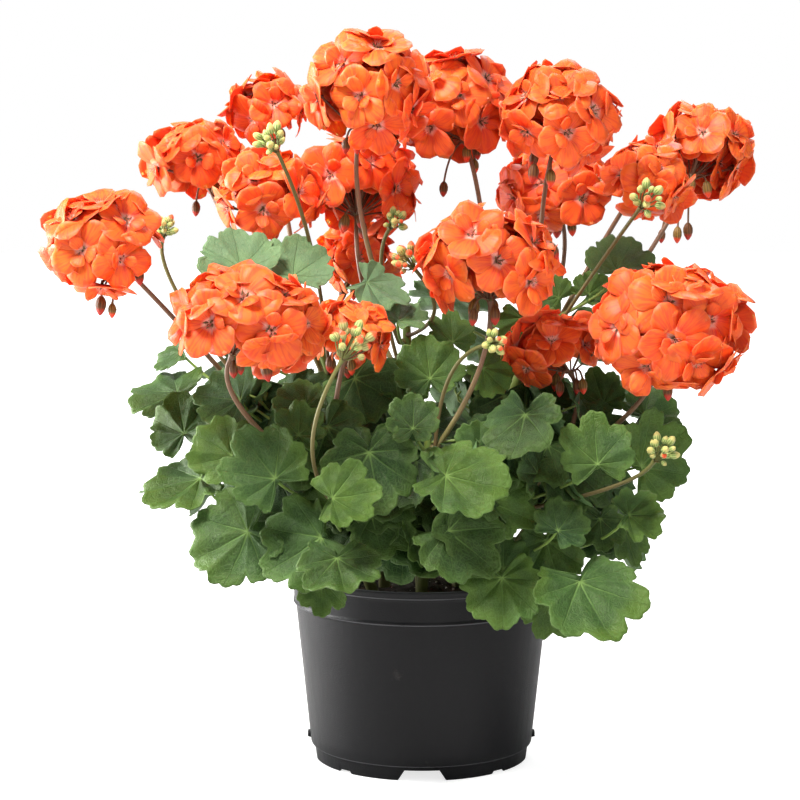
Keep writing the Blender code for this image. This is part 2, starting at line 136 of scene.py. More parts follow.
def finish_of(name, **sockets):
    """A new material with its Principled shader; sockets hold values that are the same all over."""
    material = bpy.data.materials.new(name)
    material.use_nodes = True
    shader = material.node_tree.nodes["Principled BSDF"]
    for key, value in sockets.items():
        shader.inputs[key.replace("_", " ")].default_value = value
    return material, material.node_tree, shader


def own_place(tree):
    """Places on the piece in its own coordinates, in metres."""
    return add(tree, "ShaderNodeTexCoord").outputs["Object"]


def stain(tree, places, scale, detail=2.0, roughness=0.5):
    """A soft, uneven tone over places, finer with a larger scale."""
    values = {"Vector": places, "Scale": scale, "Detail": detail, "Roughness": roughness}
    return Tone(tree, add(tree, "ShaderNodeTexNoise", values).outputs["Fac"])


def dress(tree, shader, colour, rough=None, relief=None):
    """Gives a skin its colour, its roughness, and its relief: (strength, depth in metres, height)."""
    tree.links.new(colour.socket, shader.inputs["Base Color"])
    if rough:
        tree.links.new(rough.socket, shader.inputs["Roughness"])
    if relief:
        bump = add(tree, "ShaderNodeBump", dict(zip(("Strength", "Distance", "Height"), relief)))
        tree.links.new(bump.outputs[0], shader.inputs["Normal"])


def mesh_of(name, shape):
    """Ends a shape in the making as a mesh."""
    mesh = bpy.data.meshes.new(name)
    shape.to_mesh(mesh)
    shape.free()
    return mesh


def stand(name, data):
    """A new object in the scene."""
    thing = bpy.data.objects.new(name, data)
    scene.collection.objects.link(thing)
    return thing


world = bpy.data.worlds.new("white studio")
scene.world = world
world.use_nodes = True
surround = world.node_tree
surround.nodes.clear()
seen = add(surround, "ShaderNodeBackground", {"Color": (1.0, 1.0, 1.0, 1.0), "Strength": 1.0})
shed = add(surround, "ShaderNodeBackground", {"Color": (0.96, 0.98, 1.0, 1.0), "Strength": 0.105})
from_camera = add(surround, "ShaderNodeLightPath").outputs["Is Camera Ray"]
either = add(surround, "ShaderNodeMixShader", {0: from_camera, 1: shed.outputs[0], 2: seen.outputs[0]})
add(surround, "ShaderNodeOutputWorld", {"Surface": either.outputs[0]})

paper = bmesh.new()
bmesh.ops.create_circle(paper, cap_ends=True, segments=96, radius=4.0)
floor = stand("paper_floor", mesh_of("paper floor", paper))
material, tree, shader = finish_of("white paper", Roughness=0.9, Emission_Color=(1.0, 1.0, 1.0, 1.0))
away = Tone(tree, add(tree, "ShaderNodeVectorMath", {0: own_place(tree)}, operation="LENGTH").outputs["Value"])
glow = away.ramp(0.4, 1.4, 0.74, 1.1) * add(tree, "ShaderNodeLightPath").outputs["Is Camera Ray"]
tree.links.new(glow.socket, shader.inputs["Emission Strength"])
dress(tree, shader, stain(tree, own_place(tree), 40.0).mix((0.60, 0.60, 0.60), (0.62, 0.62, 0.62)))
floor.data.materials.append(material)
floor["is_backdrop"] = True

# Each lamp: name, place, the place it is aimed at, width in metres, watts and colour.
for name, spot, aim, width, watts, colour in (
    ("key lamp", (-1.0, -1.0, 2.5), (0.0, 0.0, 0.3), 0.8, 158.0, (1.0, 0.98, 0.95)),
    ("fill lamp", (2.1, -1.6, 1.3), (0.0, 0.0, 0.3), 1.6, 27.0, (0.97, 0.98, 1.0)),
    ("front lamp", (0.6, -2.5, 0.8), (0.05, 0.0, 0.32), 1.4, 12.0, (1.0, 0.99, 0.97)),
    ("back lamp", (0.5, 1.7, 2.1), (0.0, 0.0, 0.4), 1.3, 42.0, (1.0, 1.0, 1.0)),
    ("side panel", (-1.9, 0.5, 0.5), (0.0, 0.0, 0.25), 1.2, 112.0, (1.0, 1.0, 1.0)),
):
    lamp = bpy.data.lights.new(name, "AREA")
    lamp.size, lamp.energy, lamp.color = width, watts, colour
    holder = stand(name, lamp)
    holder.location = spot
    holder.rotation_euler = (Vector(aim) - Vector(spot)).to_track_quat("-Z", "Y").to_euler()

# The pot: a thin-walled 20 cm nursery pot moulded in black plastic, with a rolled lip, a band below it, a smooth
# tapered wall and a foot ring with four large notches and four small slits, over drain holes in the floor. Its
# axis is not the plant's middle.
POT_X, POT_Y, MM = 6.5, -1.5, 0.001
POT_SIDES = 160
# Its section, (radius, height) in millimetres: over the lip, down the outside, along the floor and up inside.
WALL = (
    (97.7, 145.9), (98.1, 146.4), (98.8, 146.6), (99.4, 146.3), (99.7, 145.6), (99.6, 144.4), (99.2, 143.2),
    (98.2, 141.9), (97.6, 141.2), (97.7, 140.6), (97.9, 140.0), (97.7, 139.4), (97.3, 139.0), (97.1, 138.0),
    (97.1, 137.2), (96.9, 124.0), (96.9, 123.2), (97.2, 122.6), (97.5, 121.8), (97.4, 121.1), (96.9, 120.6),
    (96.1, 120.2), (95.5, 119.6), (95.3, 118.4), (95.2, 117.4), (93.9, 104.0), (91.6, 82.0), (89.3, 60.0),
    (87.0, 38.0), (85.1, 20.0), (84.3, 12.4), (83.9, 11.5), (83.1, 10.9), (82.2, 10.4), (81.7, 9.6), (81.2, 0.8),
    (80.9, 0.2), (80.3, 0.0), (79.7, 0.1), (79.4, 0.8), (79.7, 9.4), (79.0, 10.1), (76.0, 10.2), (58.0, 10.2),
    (40.0, 10.5), (20.0, 10.5), (0.0, 10.5), (0.0, 12.0), (40.0, 12.0), (76.0, 12.0), (81.6, 12.3), (82.5, 13.2),
    (88.3, 66.0), (94.0, 119.4), (94.4, 120.5), (95.5, 121.4), (95.8, 122.4), (96.1, 140.2), (96.6, 142.2),
)
# The openings in the foot ring, each (width and height at its top, width and height at its foot).
LARGE_NOTCH, SMALL_SLIT = ((26.0, 8.0), (38.5, -2.0)), ((10.0, 2.2), (16.0, -2.0))
# The heights of the mould's edges, in metres, where thin pale lines are painted on as highlights of the edges.
HIGHLIGHT_LINE_HEIGHTS, HIGHLIGHT_LINE_HALF_WIDTH = (0.1464, 0.1406, 0.1209, 0.0113), 0.0004


def place(x, y, z):
    """A place given in millimetres from the pot's axis and the ground, in metres in the shared frame."""
    return Vector((x + POT_X, y + POT_Y, z)) * MM


def circle(radius, height, count):
    """Places on a level circle round the axis, or the one place on the axis."""
    count = count if radius else 1
    turns = [i * math.tau / count for i in range(count)]
    return [(radius * math.cos(turn), radius * math.sin(turn), height) for turn in turns]


def bridge(low, high):
    """The corners of each face between two rings of corners, either of which may be a single one."""
    for i in range(max(len(low), len(high))):
        j = i + 1
        corners = [low[i % len(low)], low[j % len(low)], high[j % len(high)], high[i % len(high)]]
        corners = list(dict.fromkeys(corners))
        if len(corners) > 2:
            yield corners


def turned(name, rings):
    """A smooth closed body through rings of places round the pot's axis, from the last one back to the first."""
    shape = bmesh.new()
    rows = [[shape.verts.new(place(*spot)) for spot in ring] for ring in rings]
    for low, high in zip(rows, rows[1:] + rows[:1]):
        for corners in bridge(low, high):
            shape.faces.new(corners).smooth = True
    bmesh.ops.recalc_face_normals(shape, faces=shape.faces)
    return stand(name, mesh_of(name, shape))


def settle(thing):
    """Works an object's modifiers into its mesh."""
    bpy.context.view_layer.update()
    mesh = bpy.data.meshes.new_from_object(thing.evaluated_get(bpy.context.evaluated_depsgraph_get()))
    thing.modifiers.clear()
    thing.data = mesh
    return thing


pot = turned("nursery_pot", [circle(radius, height, POT_SIDES) for radius, height in WALL])
openings = bmesh.new()
for index in range(8):
    turn = Matrix.Rotation(math.radians(-90 + index * 45), 4, "Z")
    top, foot = SMALL_SLIT if index % 2 else LARGE_NOTCH
    for vert in bmesh.ops.create_cube(openings, size=1.0)["verts"]:
        wide, high = top if vert.co.z > 0 else foot
        vert.co = place(*(turn @ Vector((83.0 + vert.co.x * 16.0, vert.co.y * wide, high))))
    if index % 2 == 0:
        drain = place(*(turn @ Vector((66.0, 0.0, 11.0))))
        bmesh.ops.create_cone(openings, cap_ends=True, segments=24, radius1=5.0 * MM, radius2=5.0 * MM,
                              depth=4.0 * MM, matrix=Matrix.Translation(drain))
cutter = stand("notches and drain holes", mesh_of("notches and drain holes", openings))
lugs = bmesh.new()
for bearing in (0, 180):
    turn = Matrix.Rotation(math.radians(bearing), 4, "Z")
    for vert in bmesh.ops.create_cube(lugs, size=1.0)["verts"]:
        high = 6.0 if vert.co.x < 0 else 3.6
        corner = Vector((83.8 + vert.co.x * 6.0, vert.co.y * 8.0, 16.0 + vert.co.z * high))
        vert.co = place(*(turn @ corner))
lug = stand("stacking lugs", mesh_of("stacking lugs", lugs))
for name, operation, other in (("lugs", "UNION", lug), ("openings", "DIFFERENCE", cutter)):
    change = pot.modifiers.new(name, "BOOLEAN")
    change.operation, change.solver, change.object = operation, "EXACT", other
round_edges = pot.modifiers.new("moulded edges", "BEVEL")
round_edges.width = 0.0004
round_edges.segments = 1
round_edges.limit_method = "ANGLE"
round_edges.angle_limit = math.radians(50)
settle(pot)
bpy.data.objects.remove(cutter)
bpy.data.objects.remove(lug)
pot.data.shade_smooth()


def effect(name, asked, given):
    """An empty shader group; asked gives each input's value, or None for places, given names its outputs."""
    group = bpy.data.node_groups.new(name, "ShaderNodeTree")
    for label, value in asked.items():
        kind = "NodeSocketVector" if value is None else "NodeSocketFloat"
        socket = group.interface.new_socket(label, in_out="INPUT", socket_type=kind)
        if value is not None:
            socket.default_value = value
    for label in given:
        group.interface.new_socket(label, in_out="OUTPUT", socket_type="NodeSocketFloat")
    return group, group.nodes.new("NodeGroupInput").outputs, group.nodes.new("NodeGroupOutput")


def grain_and_dust():
    """The grain of a moulded surface, the dust that lies on it and the long streaks where it is rubbed."""
    group, asked, go = effect("grain and dust", {"Place": None, "Grain Scale": 900.0, "Dust Scale": 60.0, "Dust": 0.2},
                              ("Dust Mask", "Grain", "Wear"))
    cloud = stain(group, asked["Place"], asked["Dust Scale"], 8.0, 0.72)
    streaks = add(group, "ShaderNodeMapping", {"Vector": asked["Place"], "Scale": (1.0, 1.0, 0.06)}).outputs[0]
    for label, tone in (
        ("Dust Mask", cloud.ramp(0.78 - Tone(group, asked["Dust"]), 0.95)),
        ("Grain", stain(group, asked["Place"], asked["Grain Scale"], 3.0)),
        ("Wear", stain(group, streaks, 170.0, 4.0)),
    ):
        group.links.new(tone.socket, go.inputs[label])
    return group


material, tree, shader = finish_of("black moulded plastic", Specular_IOR_Level=0.17)
where = own_place(tree)
speckle = add(tree, "ShaderNodeGroup", node_tree=grain_and_dust())
for label, value in (("Grain Scale", 1400.0), ("Dust Scale", 45.0), ("Dust", 0.14)):
    speckle.inputs[label].default_value = value
tree.links.new(where, speckle.inputs["Place"])
height = Tone(tree, add(tree, "ShaderNodeSeparateXYZ", {0: where}).outputs["Z"])
wear = Tone(tree, speckle.outputs["Wear"])
dusty = height.ramp(0.0, 0.03, 1.0, 0.35) * speckle.outputs["Dust Mask"]
black = wear.mix((0.004, 0.004, 0.005), (0.007, 0.007, 0.008))
# Thin pale lines at the mould's edges: painted highlights.
for level in HIGHLIGHT_LINE_HEIGHTS:
    black = height.math("COMPARE", level, HIGHLIGHT_LINE_HALF_WIDTH).mix(black, (0.075, 0.075, 0.08))
matt = Tone(tree, add(tree, "ShaderNodeMix", {0: dusty, 2: wear.ramp(0.3, 0.7, 0.34, 0.44), 3: 0.85}).outputs[0])
dress(tree, shader, dusty.mix(black, (0.16, 0.15, 0.135)), matt, (0.55, 0.0004, speckle.outputs["Grain"]))
pot.data.materials.clear()
pot.data.materials.append(material)
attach(pot, "root")
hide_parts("pot")

# The potting soil: dark peat filled to a finger below the rim, heaped a little in the middle, with loose crumbs,
# bark chips and a few white grains of perlite on top.
SOIL_TOP = ((0.0, 128.5), (60.0, 127.0), (93.2, 124.0))
SOIL_BOTTOM, SOIL_RADIUS, SOIL_RINGS, SOIL_SPOKES = 12.3, 93.2, 34, 120
CRUMB, CHIP = (1.0, 0.75, 0.55), (1.7, 0.8, 0.28)


def soil_height(radius):
    """The soil's level at a distance from the pot's axis."""
    (_, high), (b, middle), (c, low) = SOIL_TOP
    return high + (middle - high) * radius / b if radius < b else middle + (low - middle) * (radius - b) / (c - b)


rings = []
for index in range(SOIL_RINGS + 1):
    radius = SOIL_RADIUS * index / SOIL_RINGS
    rings.append([])
    for x, y, level in circle(radius, soil_height(radius) - 0.6, SOIL_SPOKES):
        clods = noise.fractal(Vector((x, y, 0.0)) * 0.09, 1.0, 2.1, 4) * 1.5
        lumps = noise.noise(Vector((x, y, 9.0)) * 0.6) * 0.5
        rings[-1].append((x, y, level + (clods + lumps)))
rings += [circle(93.4, 118.0, SOIL_SPOKES), circle(81.8, SOIL_BOTTOM, SOIL_SPOKES), circle(0.0, SOIL_BOTTOM, 1)]
bed = turned("potting_soil", rings)

perlite, tree, shader = finish_of("white perlite", Roughness=0.9)
pores = add(tree, "ShaderNodeTexVoronoi", {"Vector": own_place(tree), "Scale": 1800.0})
dress(tree, shader, Tone(tree, pores.outputs["Distance"]).mix((0.30, 0.27, 0.23), (0.62, 0.60, 0.55)))

peat, tree, shader = finish_of("peat and bark", Roughness=0.95)
fibre = stain(tree, own_place(tree), 420.0, 8.0, 0.7)
brown = stain(tree, own_place(tree), 70.0, 4.0).ramp(0.52, 0.75, 0.0, 0.5)
dark = fibre.mix((0.012, 0.008, 0.006), (0.060, 0.040, 0.026))
dress(tree, shader, brown.mix(dark, (0.085, 0.055, 0.033)), relief=(0.8, 0.001, fibre))
bed.data.materials.append(peat)


def kinds_of(name, meshes):
    """A collection with a loose numbered object for each mesh, in that order."""
    kinds = bpy.data.collections.new(name + "s")
    digits = len(str(len(meshes)))
    for index, mesh in enumerate(meshes):
        kinds.objects.link(bpy.data.objects.new(f"{name} {index:0{digits}d}", mesh))
    return kinds


def crumb_mesh(index, chance):
    """A crumb or chip about a millimetre across; the one numbered three is perlite."""
    lump = bmesh.new()
    bmesh.ops.create_icosphere(lump, subdivisions=1, radius=MM)
    for vert in lump.verts:
        vert.co = Vector(a * b * chance.uniform(0.75, 1.2) for a, b in zip(vert.co, CRUMB if index < 4 else CHIP))
    mesh = mesh_of("crumb", lump)
    mesh.materials.append(perlite if index == 3 else peat)
    return mesh


chance = random.Random("crumbs")
crumbs = kinds_of("crumb", [crumb_mesh(index, chance) for index in range(7)])


def tree_with(name, sockets):
    """An empty Geometry Nodes tree with a mesh in and out, its named inputs, and its output node."""
    tree = bpy.data.node_groups.new(name, "GeometryNodeTree")
    tree.interface.new_socket("Geometry", in_out="INPUT", socket_type="NodeSocketGeometry")
    tree.interface.new_socket("Geometry", in_out="OUTPUT", socket_type="NodeSocketGeometry")
    for label, kind in sockets.items():
        tree.interface.new_socket(label, in_out="INPUT", socket_type="NodeSocket" + kind)
    return tree, tree.nodes.new("NodeGroupInput").outputs, tree.nodes.new("NodeGroupOutput")


def end_with(tree, go, *parts):
    """Joins the parts of a Geometry Nodes tree and gives them out."""
    both = add(tree, "GeometryNodeJoinGeometry")
    for part in parts:
        tree.links.new(part.outputs[0], both.inputs[0])
    tree.links.new(both.outputs[0], go.inputs[0])


def grown(thing, tree, values):
    """The plain mesh that a tree makes of an object, with the tree's inputs set by their identifiers."""
    modifier = thing.modifiers.new("grow", "NODES")
    modifier.node_group = tree
    for item in tree.interface.items_tree:
        if item.item_type == "SOCKET" and item.in_out == "INPUT" and item.name in values:
            modifier[item.identifier] = values[item.name]
    return settle(thing)


tree, asked, go = tree_with("loose crumbs", {
    "Per Square Metre": "Float", "Seed": "Int", "Crumbs": "Collection", "Material": "Material"})
face_up = add(tree, "ShaderNodeSeparateXYZ", {0: add(tree, "GeometryNodeInputNormal").outputs[0]})
upper = add(tree, "FunctionNodeCompare", {0: face_up.outputs["Z"], 1: 0.5}, operation="GREATER_THAN")
spread = add(tree, "GeometryNodeDistributePointsOnFaces", {
    "Mesh": asked["Geometry"], "Selection": upper.outputs[0], "Density": asked["Per Square Metre"],
    "Seed": asked["Seed"]})
kinds = add(tree, "GeometryNodeCollectionInfo", {
    "Collection": asked["Crumbs"], "Separate Children": True, "Reset Children": True})
roll = add(tree, "FunctionNodeRandomValue", {0: (0.0, 0.0, 0.0), 1: (6.283, 6.283, 6.283), "Seed": asked["Seed"]},
           data_type="FLOAT_VECTOR")
sizes = add(tree, "FunctionNodeRandomValue", {2: 0.0, 3: 1.0, "Seed": asked["Seed"]}, data_type="FLOAT")
scaled = Tone(tree, sizes.outputs[1]).math("POWER", 3.0).ramp(0.0, 1.0, 0.45, 2.1)
grains = add(tree, "GeometryNodeInstanceOnPoints", {
    "Points": spread.outputs["Points"], "Instance": kinds.outputs[0], "Pick Instance": True,
    "Rotation": roll.outputs[0], "Scale": scaled})
solid = add(tree, "GeometryNodeRealizeInstances", {"Geometry": grains.outputs[0]})
ground = add(tree, "GeometryNodeSetMaterial", {"Geometry": asked["Geometry"], "Material": asked["Material"]})
end_with(tree, go, ground, solid)
soil = grown(bed, tree, {"Per Square Metre": 46000.0, "Seed": 4, "Crumbs": crumbs, "Material": peat})
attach(soil, "root")
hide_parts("soil")

# The leafy stems: ten soft green-brown stems that rise from the soil, each with long leaf stalks that carry
# round, shallowly lobed, toothed leaves with a deep cleft where the stalk joins. The two stems at the back
# follow a rule, the others stand leaf by leaf where the plant has them.
STEM_FOOT = 95.5
# Each stem: x, y, z and radius at places up its middle, in millimetres.
STEMS = {
    "01": ((-52, 0, STEM_FOOT, 4.8), (-52, 0, 133, 4.8), (-78, -8, 190, 4.4), (-106, -18, 245, 3.8),
        (-118, -20, 282, 3.0)),
    "02": ((-36, -38, STEM_FOOT, 4.8), (-36, -38, 133, 4.8), (-52, -58, 180, 4.4), (-68, -74, 228, 3.8),
        (-74, -80, 262, 3.0)),
    "03": ((0, -54, STEM_FOOT, 4.8), (0, -54, 133, 4.8), (2, -68, 180, 4.4), (4, -78, 225, 3.8),
        (4, -80, 262, 3.0)),
    "04": ((38, -38, STEM_FOOT, 4.8), (38, -38, 133, 4.8), (55, -54, 172, 4.4), (72, -66, 212, 3.8),
        (80, -70, 245, 3.0)),
    "05": ((52, 2, STEM_FOOT, 4.8), (52, 2, 133, 4.8), (80, -6, 175, 4.4), (105, -12, 222, 3.8),
        (116, -14, 258, 3.0)),
    "06": ((-28, 14, STEM_FOOT, 5.0), (-28, 14, 133, 5.0), (-44, 8, 220, 4.6), (-72, -6, 305, 4.0),
        (-92, -12, 352, 3.0)),
    "07": ((0, -12, STEM_FOOT, 5.0), (0, -12, 133, 5.0), (-5, -16, 230, 4.6), (-10, -16, 300, 4.0),
        (-12, -12, 345, 3.0)),
    "08": ((28, 14, STEM_FOOT, 5.0), (28, 14, 133, 5.0), (46, 6, 220, 4.6), (76, -4, 300, 4.0), (98, 0, 342, 3.0)),
    "09": ((-30, 48, STEM_FOOT, 4.8), (-30, 48, 133, 4.8), (-50, 78, 195, 4.4), (-74, 98, 262, 3.8),
        (-84, 106, 318, 3.0)),
    "10": ((30, 48, STEM_FOOT, 4.8), (30, 48, 133, 4.8), (50, 78, 195, 4.4), (76, 96, 262, 3.8),
        (90, 104, 318, 3.0)),
}
# Each leaf: x, y, z of the place where its stalk meets the blade, width, and in degrees the bearing that its
# upper face looks to, how far that face looks up, and the turn of its tip (0 down, 90 right, 180 up).
LEAVES = {
    "01": (
        (-184, -5, 280, 60, -140, 60, -80), (-175, -50, 256, 54, -120, 38, -150),
        (-184, 30, 306, 35, -150, 45, -60),
        (-133, -70, 284, 51, -105, 38, -95), (-162, -80, 228, 70, -130, 58, -60),
        (-138, -100, 248, 51, -110, 28, -115),
        (-150, 15, 220, 63, 175, 30, 0), (-112, -56, 196, 60, -125, 18, 0),
    ),
    "02": (
        (-105, -142, 238, 60, -95, 22, -140), (-125, -122, 196, 71, -112, 20, -58),
        (-72, -135, 194, 68, -100, 25, -55),
        (-60, -158, 184, 56, -88, 54, 5), (-73, -108, 158, 37, -95, 12, 0), (-89, -112, 264, 37, -95, 25, 180),
        (-97, -92, 214, 59, -105, 18, 5),
        (-64, -168, 229, 48, -85, 35, 100), (-85, -84, 281, 38, -95, 42, -130),
    ),
    "03": (
        (-38, -130, 255, 67, -90, 15, 10), (-37, -118, 206, 50, -85, 20, 55), (16, -150, 241, 70, -80, 54, 72),
        (-7, -128, 272, 37, -95, 30, 180), (41, -95, 247, 39, -85, 25, 175), (18, -138, 200, 62, -85, 22, 48),
        (-28, -84, 226, 65, -95, 18, 10), (34, -84, 196, 63, -80, 15, -10),
        (47, -112, 218, 52, -70, 20, 60), (-8, -112, 196, 41, -25, 20, 0),
    ),
    "04": (
        (59, -104, 164, 39, -90, 28, 180), (57, -138, 166, 58, -90, 25, 0), (96, -125, 197, 40, -80, 35, 140),
        (113, -138, 163, 76, -80, 48, 15), (94, -98, 143, 48, -75, -12, 28), (125, -128, 246, 52, -88, 24, 183),
        (84, -93, 232, 50, -35, 15, 170),
        (91, -86, 182, 54, -75, 18, 10),
    ),
    "05": (
        (131, -72, 196, 35, -80, 15, 0), (150, -60, 187, 41, -50, 15, 5), (149, -108, 206, 41, -70, 42, 85),
        (162, -45, 230, 65, -62, 12, 120), (167, -15, 264, 45, -60, 48, 100), (136, -15, 274, 37, -95, 18, -160),
        (150, 0, 188, 54, -8, 20, 0),
    ),
    "06": (
        (-132, -66, 380, 57, -95, 52, 195), (-94, -64, 374, 53, -85, 45, 172), (-110, -20, 350, 35, -100, 40, 150),
    ),
    "07": (
        (-41, -50, 368, 46, -60, 48, 50), (-18, -57, 341, 37, -90, 66, 150), (5, -74, 300, 49, -95, 28, 188),
        (22, -48, 324, 35, -80, 38, 175), (-50, -50, 297, 58, -90, 25, 60), (-18, -46, 300, 39, -85, 30, 45),
    ),
    "08": (
        (146, -6, 372, 51, -80, 50, 150), (126, 10, 353, 33, -70, 48, 120), (104, 8, 350, 31, -100, 25, -120),
        (76, 0, 336, 40, -88, 16, 0), (44, -62, 306, 37, -60, 25, 40), (96, -30, 279, 30, -80, 20, 160),
        (92, 50, 324, 50, 60, 45, 0),
    ),
}
# The bearings between which each stem at the back spreads its leaves.
BACK_STEMS = {"09": (95.0, 165.0), "10": (20.0, 85.0)}
# Young leaves that fill gaps at the front, as in LEAVES; each stem also has INNER_LEAVES spread by chance. All of them
# are painted darker than the other leaves, as painted shade inside the leaf mass.
FILLING = {
    "05": ((112, -62, 236, 46, -60, 30, 20), (120, -36, 262, 54, -60, 34, 35)),
    "04": ((92, -78, 252, 50, -85, 30, -30),),
}
BACK_LEAVES, INNER_LEAVES = 9, 12
GOLDEN = 0.618034
# A blade's lobes are LOBE degrees apart, and its stalk joins OFF_CENTRE of its width behind its middle.
LOBE, LAST_LOBE, OFF_CENTRE = 43.0, 3, 0.17
FINE_SPOKES, FINE_RINGS = 112, (0.10, 0.24, 0.40, 0.56, 0.72, 0.86, 0.95, 1.0)
PLAIN_SPOKES, PLAIN_RINGS = 56, (0.2, 0.5, 0.8, 1.0)
BLADE_KINDS, INNER_KINDS = 8, 4
BLADE_THICKNESS = 0.016
EARS = (150.0, 128.0, 160.0, 138.0, 120.0, 154.0, 132.0, 145.0)
# The map of a blade's underside lies this far beside the map of its upper face.
UNDER = 2.0


def compass(degrees, up=0.0):
    """The direction of a bearing round the pot, raised by an angle."""
    turn, lift = math.radians(degrees), math.radians(up)
    return Vector((math.cos(turn) * math.cos(lift), math.sin(turn) * math.cos(lift), math.sin(lift)))


def mapped_face(shape, layer, corners, uvs):
    """A smooth face with the map of each of its corners."""
    made = shape.faces.new(corners)
    made.smooth = True
    for loop, uv in zip(made.loops, uvs):
        loop[layer].uv = uv


def blade_mesh(kind):
    """A leaf blade one unit wide, its tip along X and its upper face along Z, with a map of turn and reach."""
    chance = random.Random(f"blade {kind}")
    waves = [chance.uniform(0, math.tau) for _ in range(5)]
    cup, frill = chance.uniform(0.08, 0.22), chance.uniform(0.018, 0.034)
    lobe_sizes = [chance.uniform(0.92, 1.06) for _ in range(9)]
    pleat, ear = chance.uniform(0.034, 0.062), EARS[kind % len(EARS)]

    def lobe_at(turn):
        """The lobe that a turn falls in, and how far the turn is from its middle, nought to one."""
        lobe = math.degrees(turn) / LOBE
        nearest = max(-LAST_LOBE, min(LAST_LOBE, round(lobe)))
        return nearest, min(1.0, 2.0 * abs(lobe - nearest))

    def reach(turn):
        """How far the rim is from the stalk's joint, with its lobes, its teeth and the cleft behind the joint."""
        nearest, off = lobe_at(turn)
        rim = OFF_CENTRE * math.cos(turn) + math.sqrt(0.27 - (OFF_CENTRE * math.sin(turn)) ** 2)
        rim *= 1.0 + (lobe_sizes[nearest + 4] - 1.0) * (1.0 - off ** 2)
        rim *= 1.03 - 0.215 * off ** 3.2
        rim *= 1.0 + 0.055 * (abs(math.sin(turn * 13.5 + waves[0] * 0.2)) - 0.5)
        cleft = min(1.0, max(0.0, (abs(math.degrees(turn)) - ear) / 19.0))
        return rim + (0.07 - rim) * cleft ** 0.7

    def spot(turn, share):
        """A place on the upper face, cupped, pleated along the lobes and frilled towards the rim."""
        far, off = reach(turn) * share, lobe_at(turn)[1]
        z = cup * far * far + 0.025 * share * math.cos(3 * turn + waves[1])
        z += pleat * min(1.0, 2.0 * share) * (off ** 0.9 - 0.5) * (1.0 - 0.2 * share)
        z += frill * share ** 3 * (math.sin(7 * turn + waves[2]) + 0.6 * math.sin(12 * turn + waves[3]))
        z += 0.035 * share ** 1.5 * math.sin(2 * turn + waves[4])
        z += 0.012 * share * math.sin(16 * share + 5 * turn + waves[0])
        return Vector((far * math.cos(turn), far * math.sin(turn), z))

    spokes, rings = (FINE_SPOKES, FINE_RINGS) if kind < BLADE_KINDS else (PLAIN_SPOKES, PLAIN_RINGS)
    shape = bmesh.new()
    layer = shape.loops.layers.uv.new("UVMap")
    turns = [math.pi * (2.0 * i / spokes - 1.0) for i in range(spokes)]
    shares = (0.0,) + rings
    sheets = []
    for drop in (0.0, BLADE_THICKNESS):
        sheet = [[shape.verts.new((0.0, 0.0, -drop))]]
        for share in rings:
            down = Vector((0, 0, drop * (1.0 - 0.45 * share)))
            sheet.append([shape.verts.new(spot(turn, share) - down) for turn in turns])
        sheets.append(sheet)
    for sheet in sheets:
        for ring, (near, far) in enumerate(zip(sheet, sheet[1:])):
            for i in range(spokes):
                j = (i + 1) % spokes
                u, v = i / spokes, (i + 1) / spokes
                if ring == 0:
                    corners, uvs = [near[0], far[i], far[j]], [((u + v) / 2, 0.0), (u, shares[1]), (v, shares[1])]
                else:
                    corners = [near[i], far[i], far[j], near[j]]
                    uvs = [(u, shares[ring]), (u, shares[ring + 1]), (v, shares[ring + 1]), (v, shares[ring])]
                if sheet is sheets[1]:
                    corners.reverse()
                    uvs = [(a + UNDER, b) for a, b in reversed(uvs)]
                mapped_face(shape, layer, corners, uvs)
    upper, lower = sheets[0][-1], sheets[1][-1]
    for i in range(spokes):
        j = (i + 1) % spokes
        u, v = i / spokes, (i + 1) / spokes
        mapped_face(shape, layer, [upper[i], lower[i], lower[j], upper[j]], [(u, 1.0), (u, 1.0), (v, 1.0), (v, 1.0)])
    return mesh_of(f"blade {kind}", shape)


def map_parts(tree, places=None):
    """The two parts of a piece's map."""
    places = places or add(tree, "ShaderNodeUVMap", uv_map="UVMap").outputs[0]
    parts = add(tree, "ShaderNodeSeparateXYZ", {0: places}).outputs
    return Tone(tree, parts["X"]), Tone(tree, parts["Y"])


def blade_map(tree, places=None):
    """A blade's map: round or across it, outwards, and one where its underside shows."""
    across, outwards = map_parts(tree, places)
    under = across.math("GREATER_THAN", 1.5)
    return across - under * UNDER, outwards, under


def own_value(tree, name):
    """A value that each stalk or growth carries, such as its age or its tint."""
    return Tone(tree, add(tree, "ShaderNodeAttribute", attribute_name=name).outputs["Fac"])


def painted(colour, *coats):
    """A colour with coats over it, each (how much of it shows, its colour)."""
    for share, coat in coats:
        colour = share.mix(colour, coat)
    return colour


VEIN_PARTS = ("Main Veins", "Forks", "Net", "Edge", "Reach", "Underside")


def leaf_veins():
    """The veins of a leaf from its map of turn and reach: seven main ones and their forks, net and edge."""
    group, asked, go = effect("leaf veins", {"Map": None, "Main Width": 0.01, "Net Scale": 2.0}, VEIN_PARTS)
    u, v, under = blade_map(group, asked["Map"])
    lobe = (u - 0.5) * (360.0 / LOBE)
    nearest = lobe.math("ROUND").math("MINIMUM", float(LAST_LOBE)).math("MAXIMUM", float(-LAST_LOBE))
    away = abs(lobe - nearest) * v * (math.radians(LOBE) * 0.55)
    width = (1.35 - v) * asked["Main Width"]
    along = (v - away * 1.35) / 0.17
    cells = add(group, "ShaderNodeCombineXYZ", {"X": lobe * 2.6, "Y": v * 6.0, "Z": 0.0}).outputs[0]
    net = add(group, "ShaderNodeTexVoronoi", {"Vector": cells, "Scale": asked["Net Scale"]}, feature="DISTANCE_TO_EDGE")
    tones = (
        1.0 - (away / width).band(0.3, 1.0),
        abs(along.math("FRACT") - 0.5).band(0.44, 0.5) * v.band(0.22, 0.4),
        1.0 - Tone(group, net.outputs["Distance"]).band(0.0, 0.16),
        v.band(0.955, 0.995), v, under,
    )
    for label, tone in zip(VEIN_PARTS, tones):
        group.links.new(tone.socket, go.inputs[label])
    return group


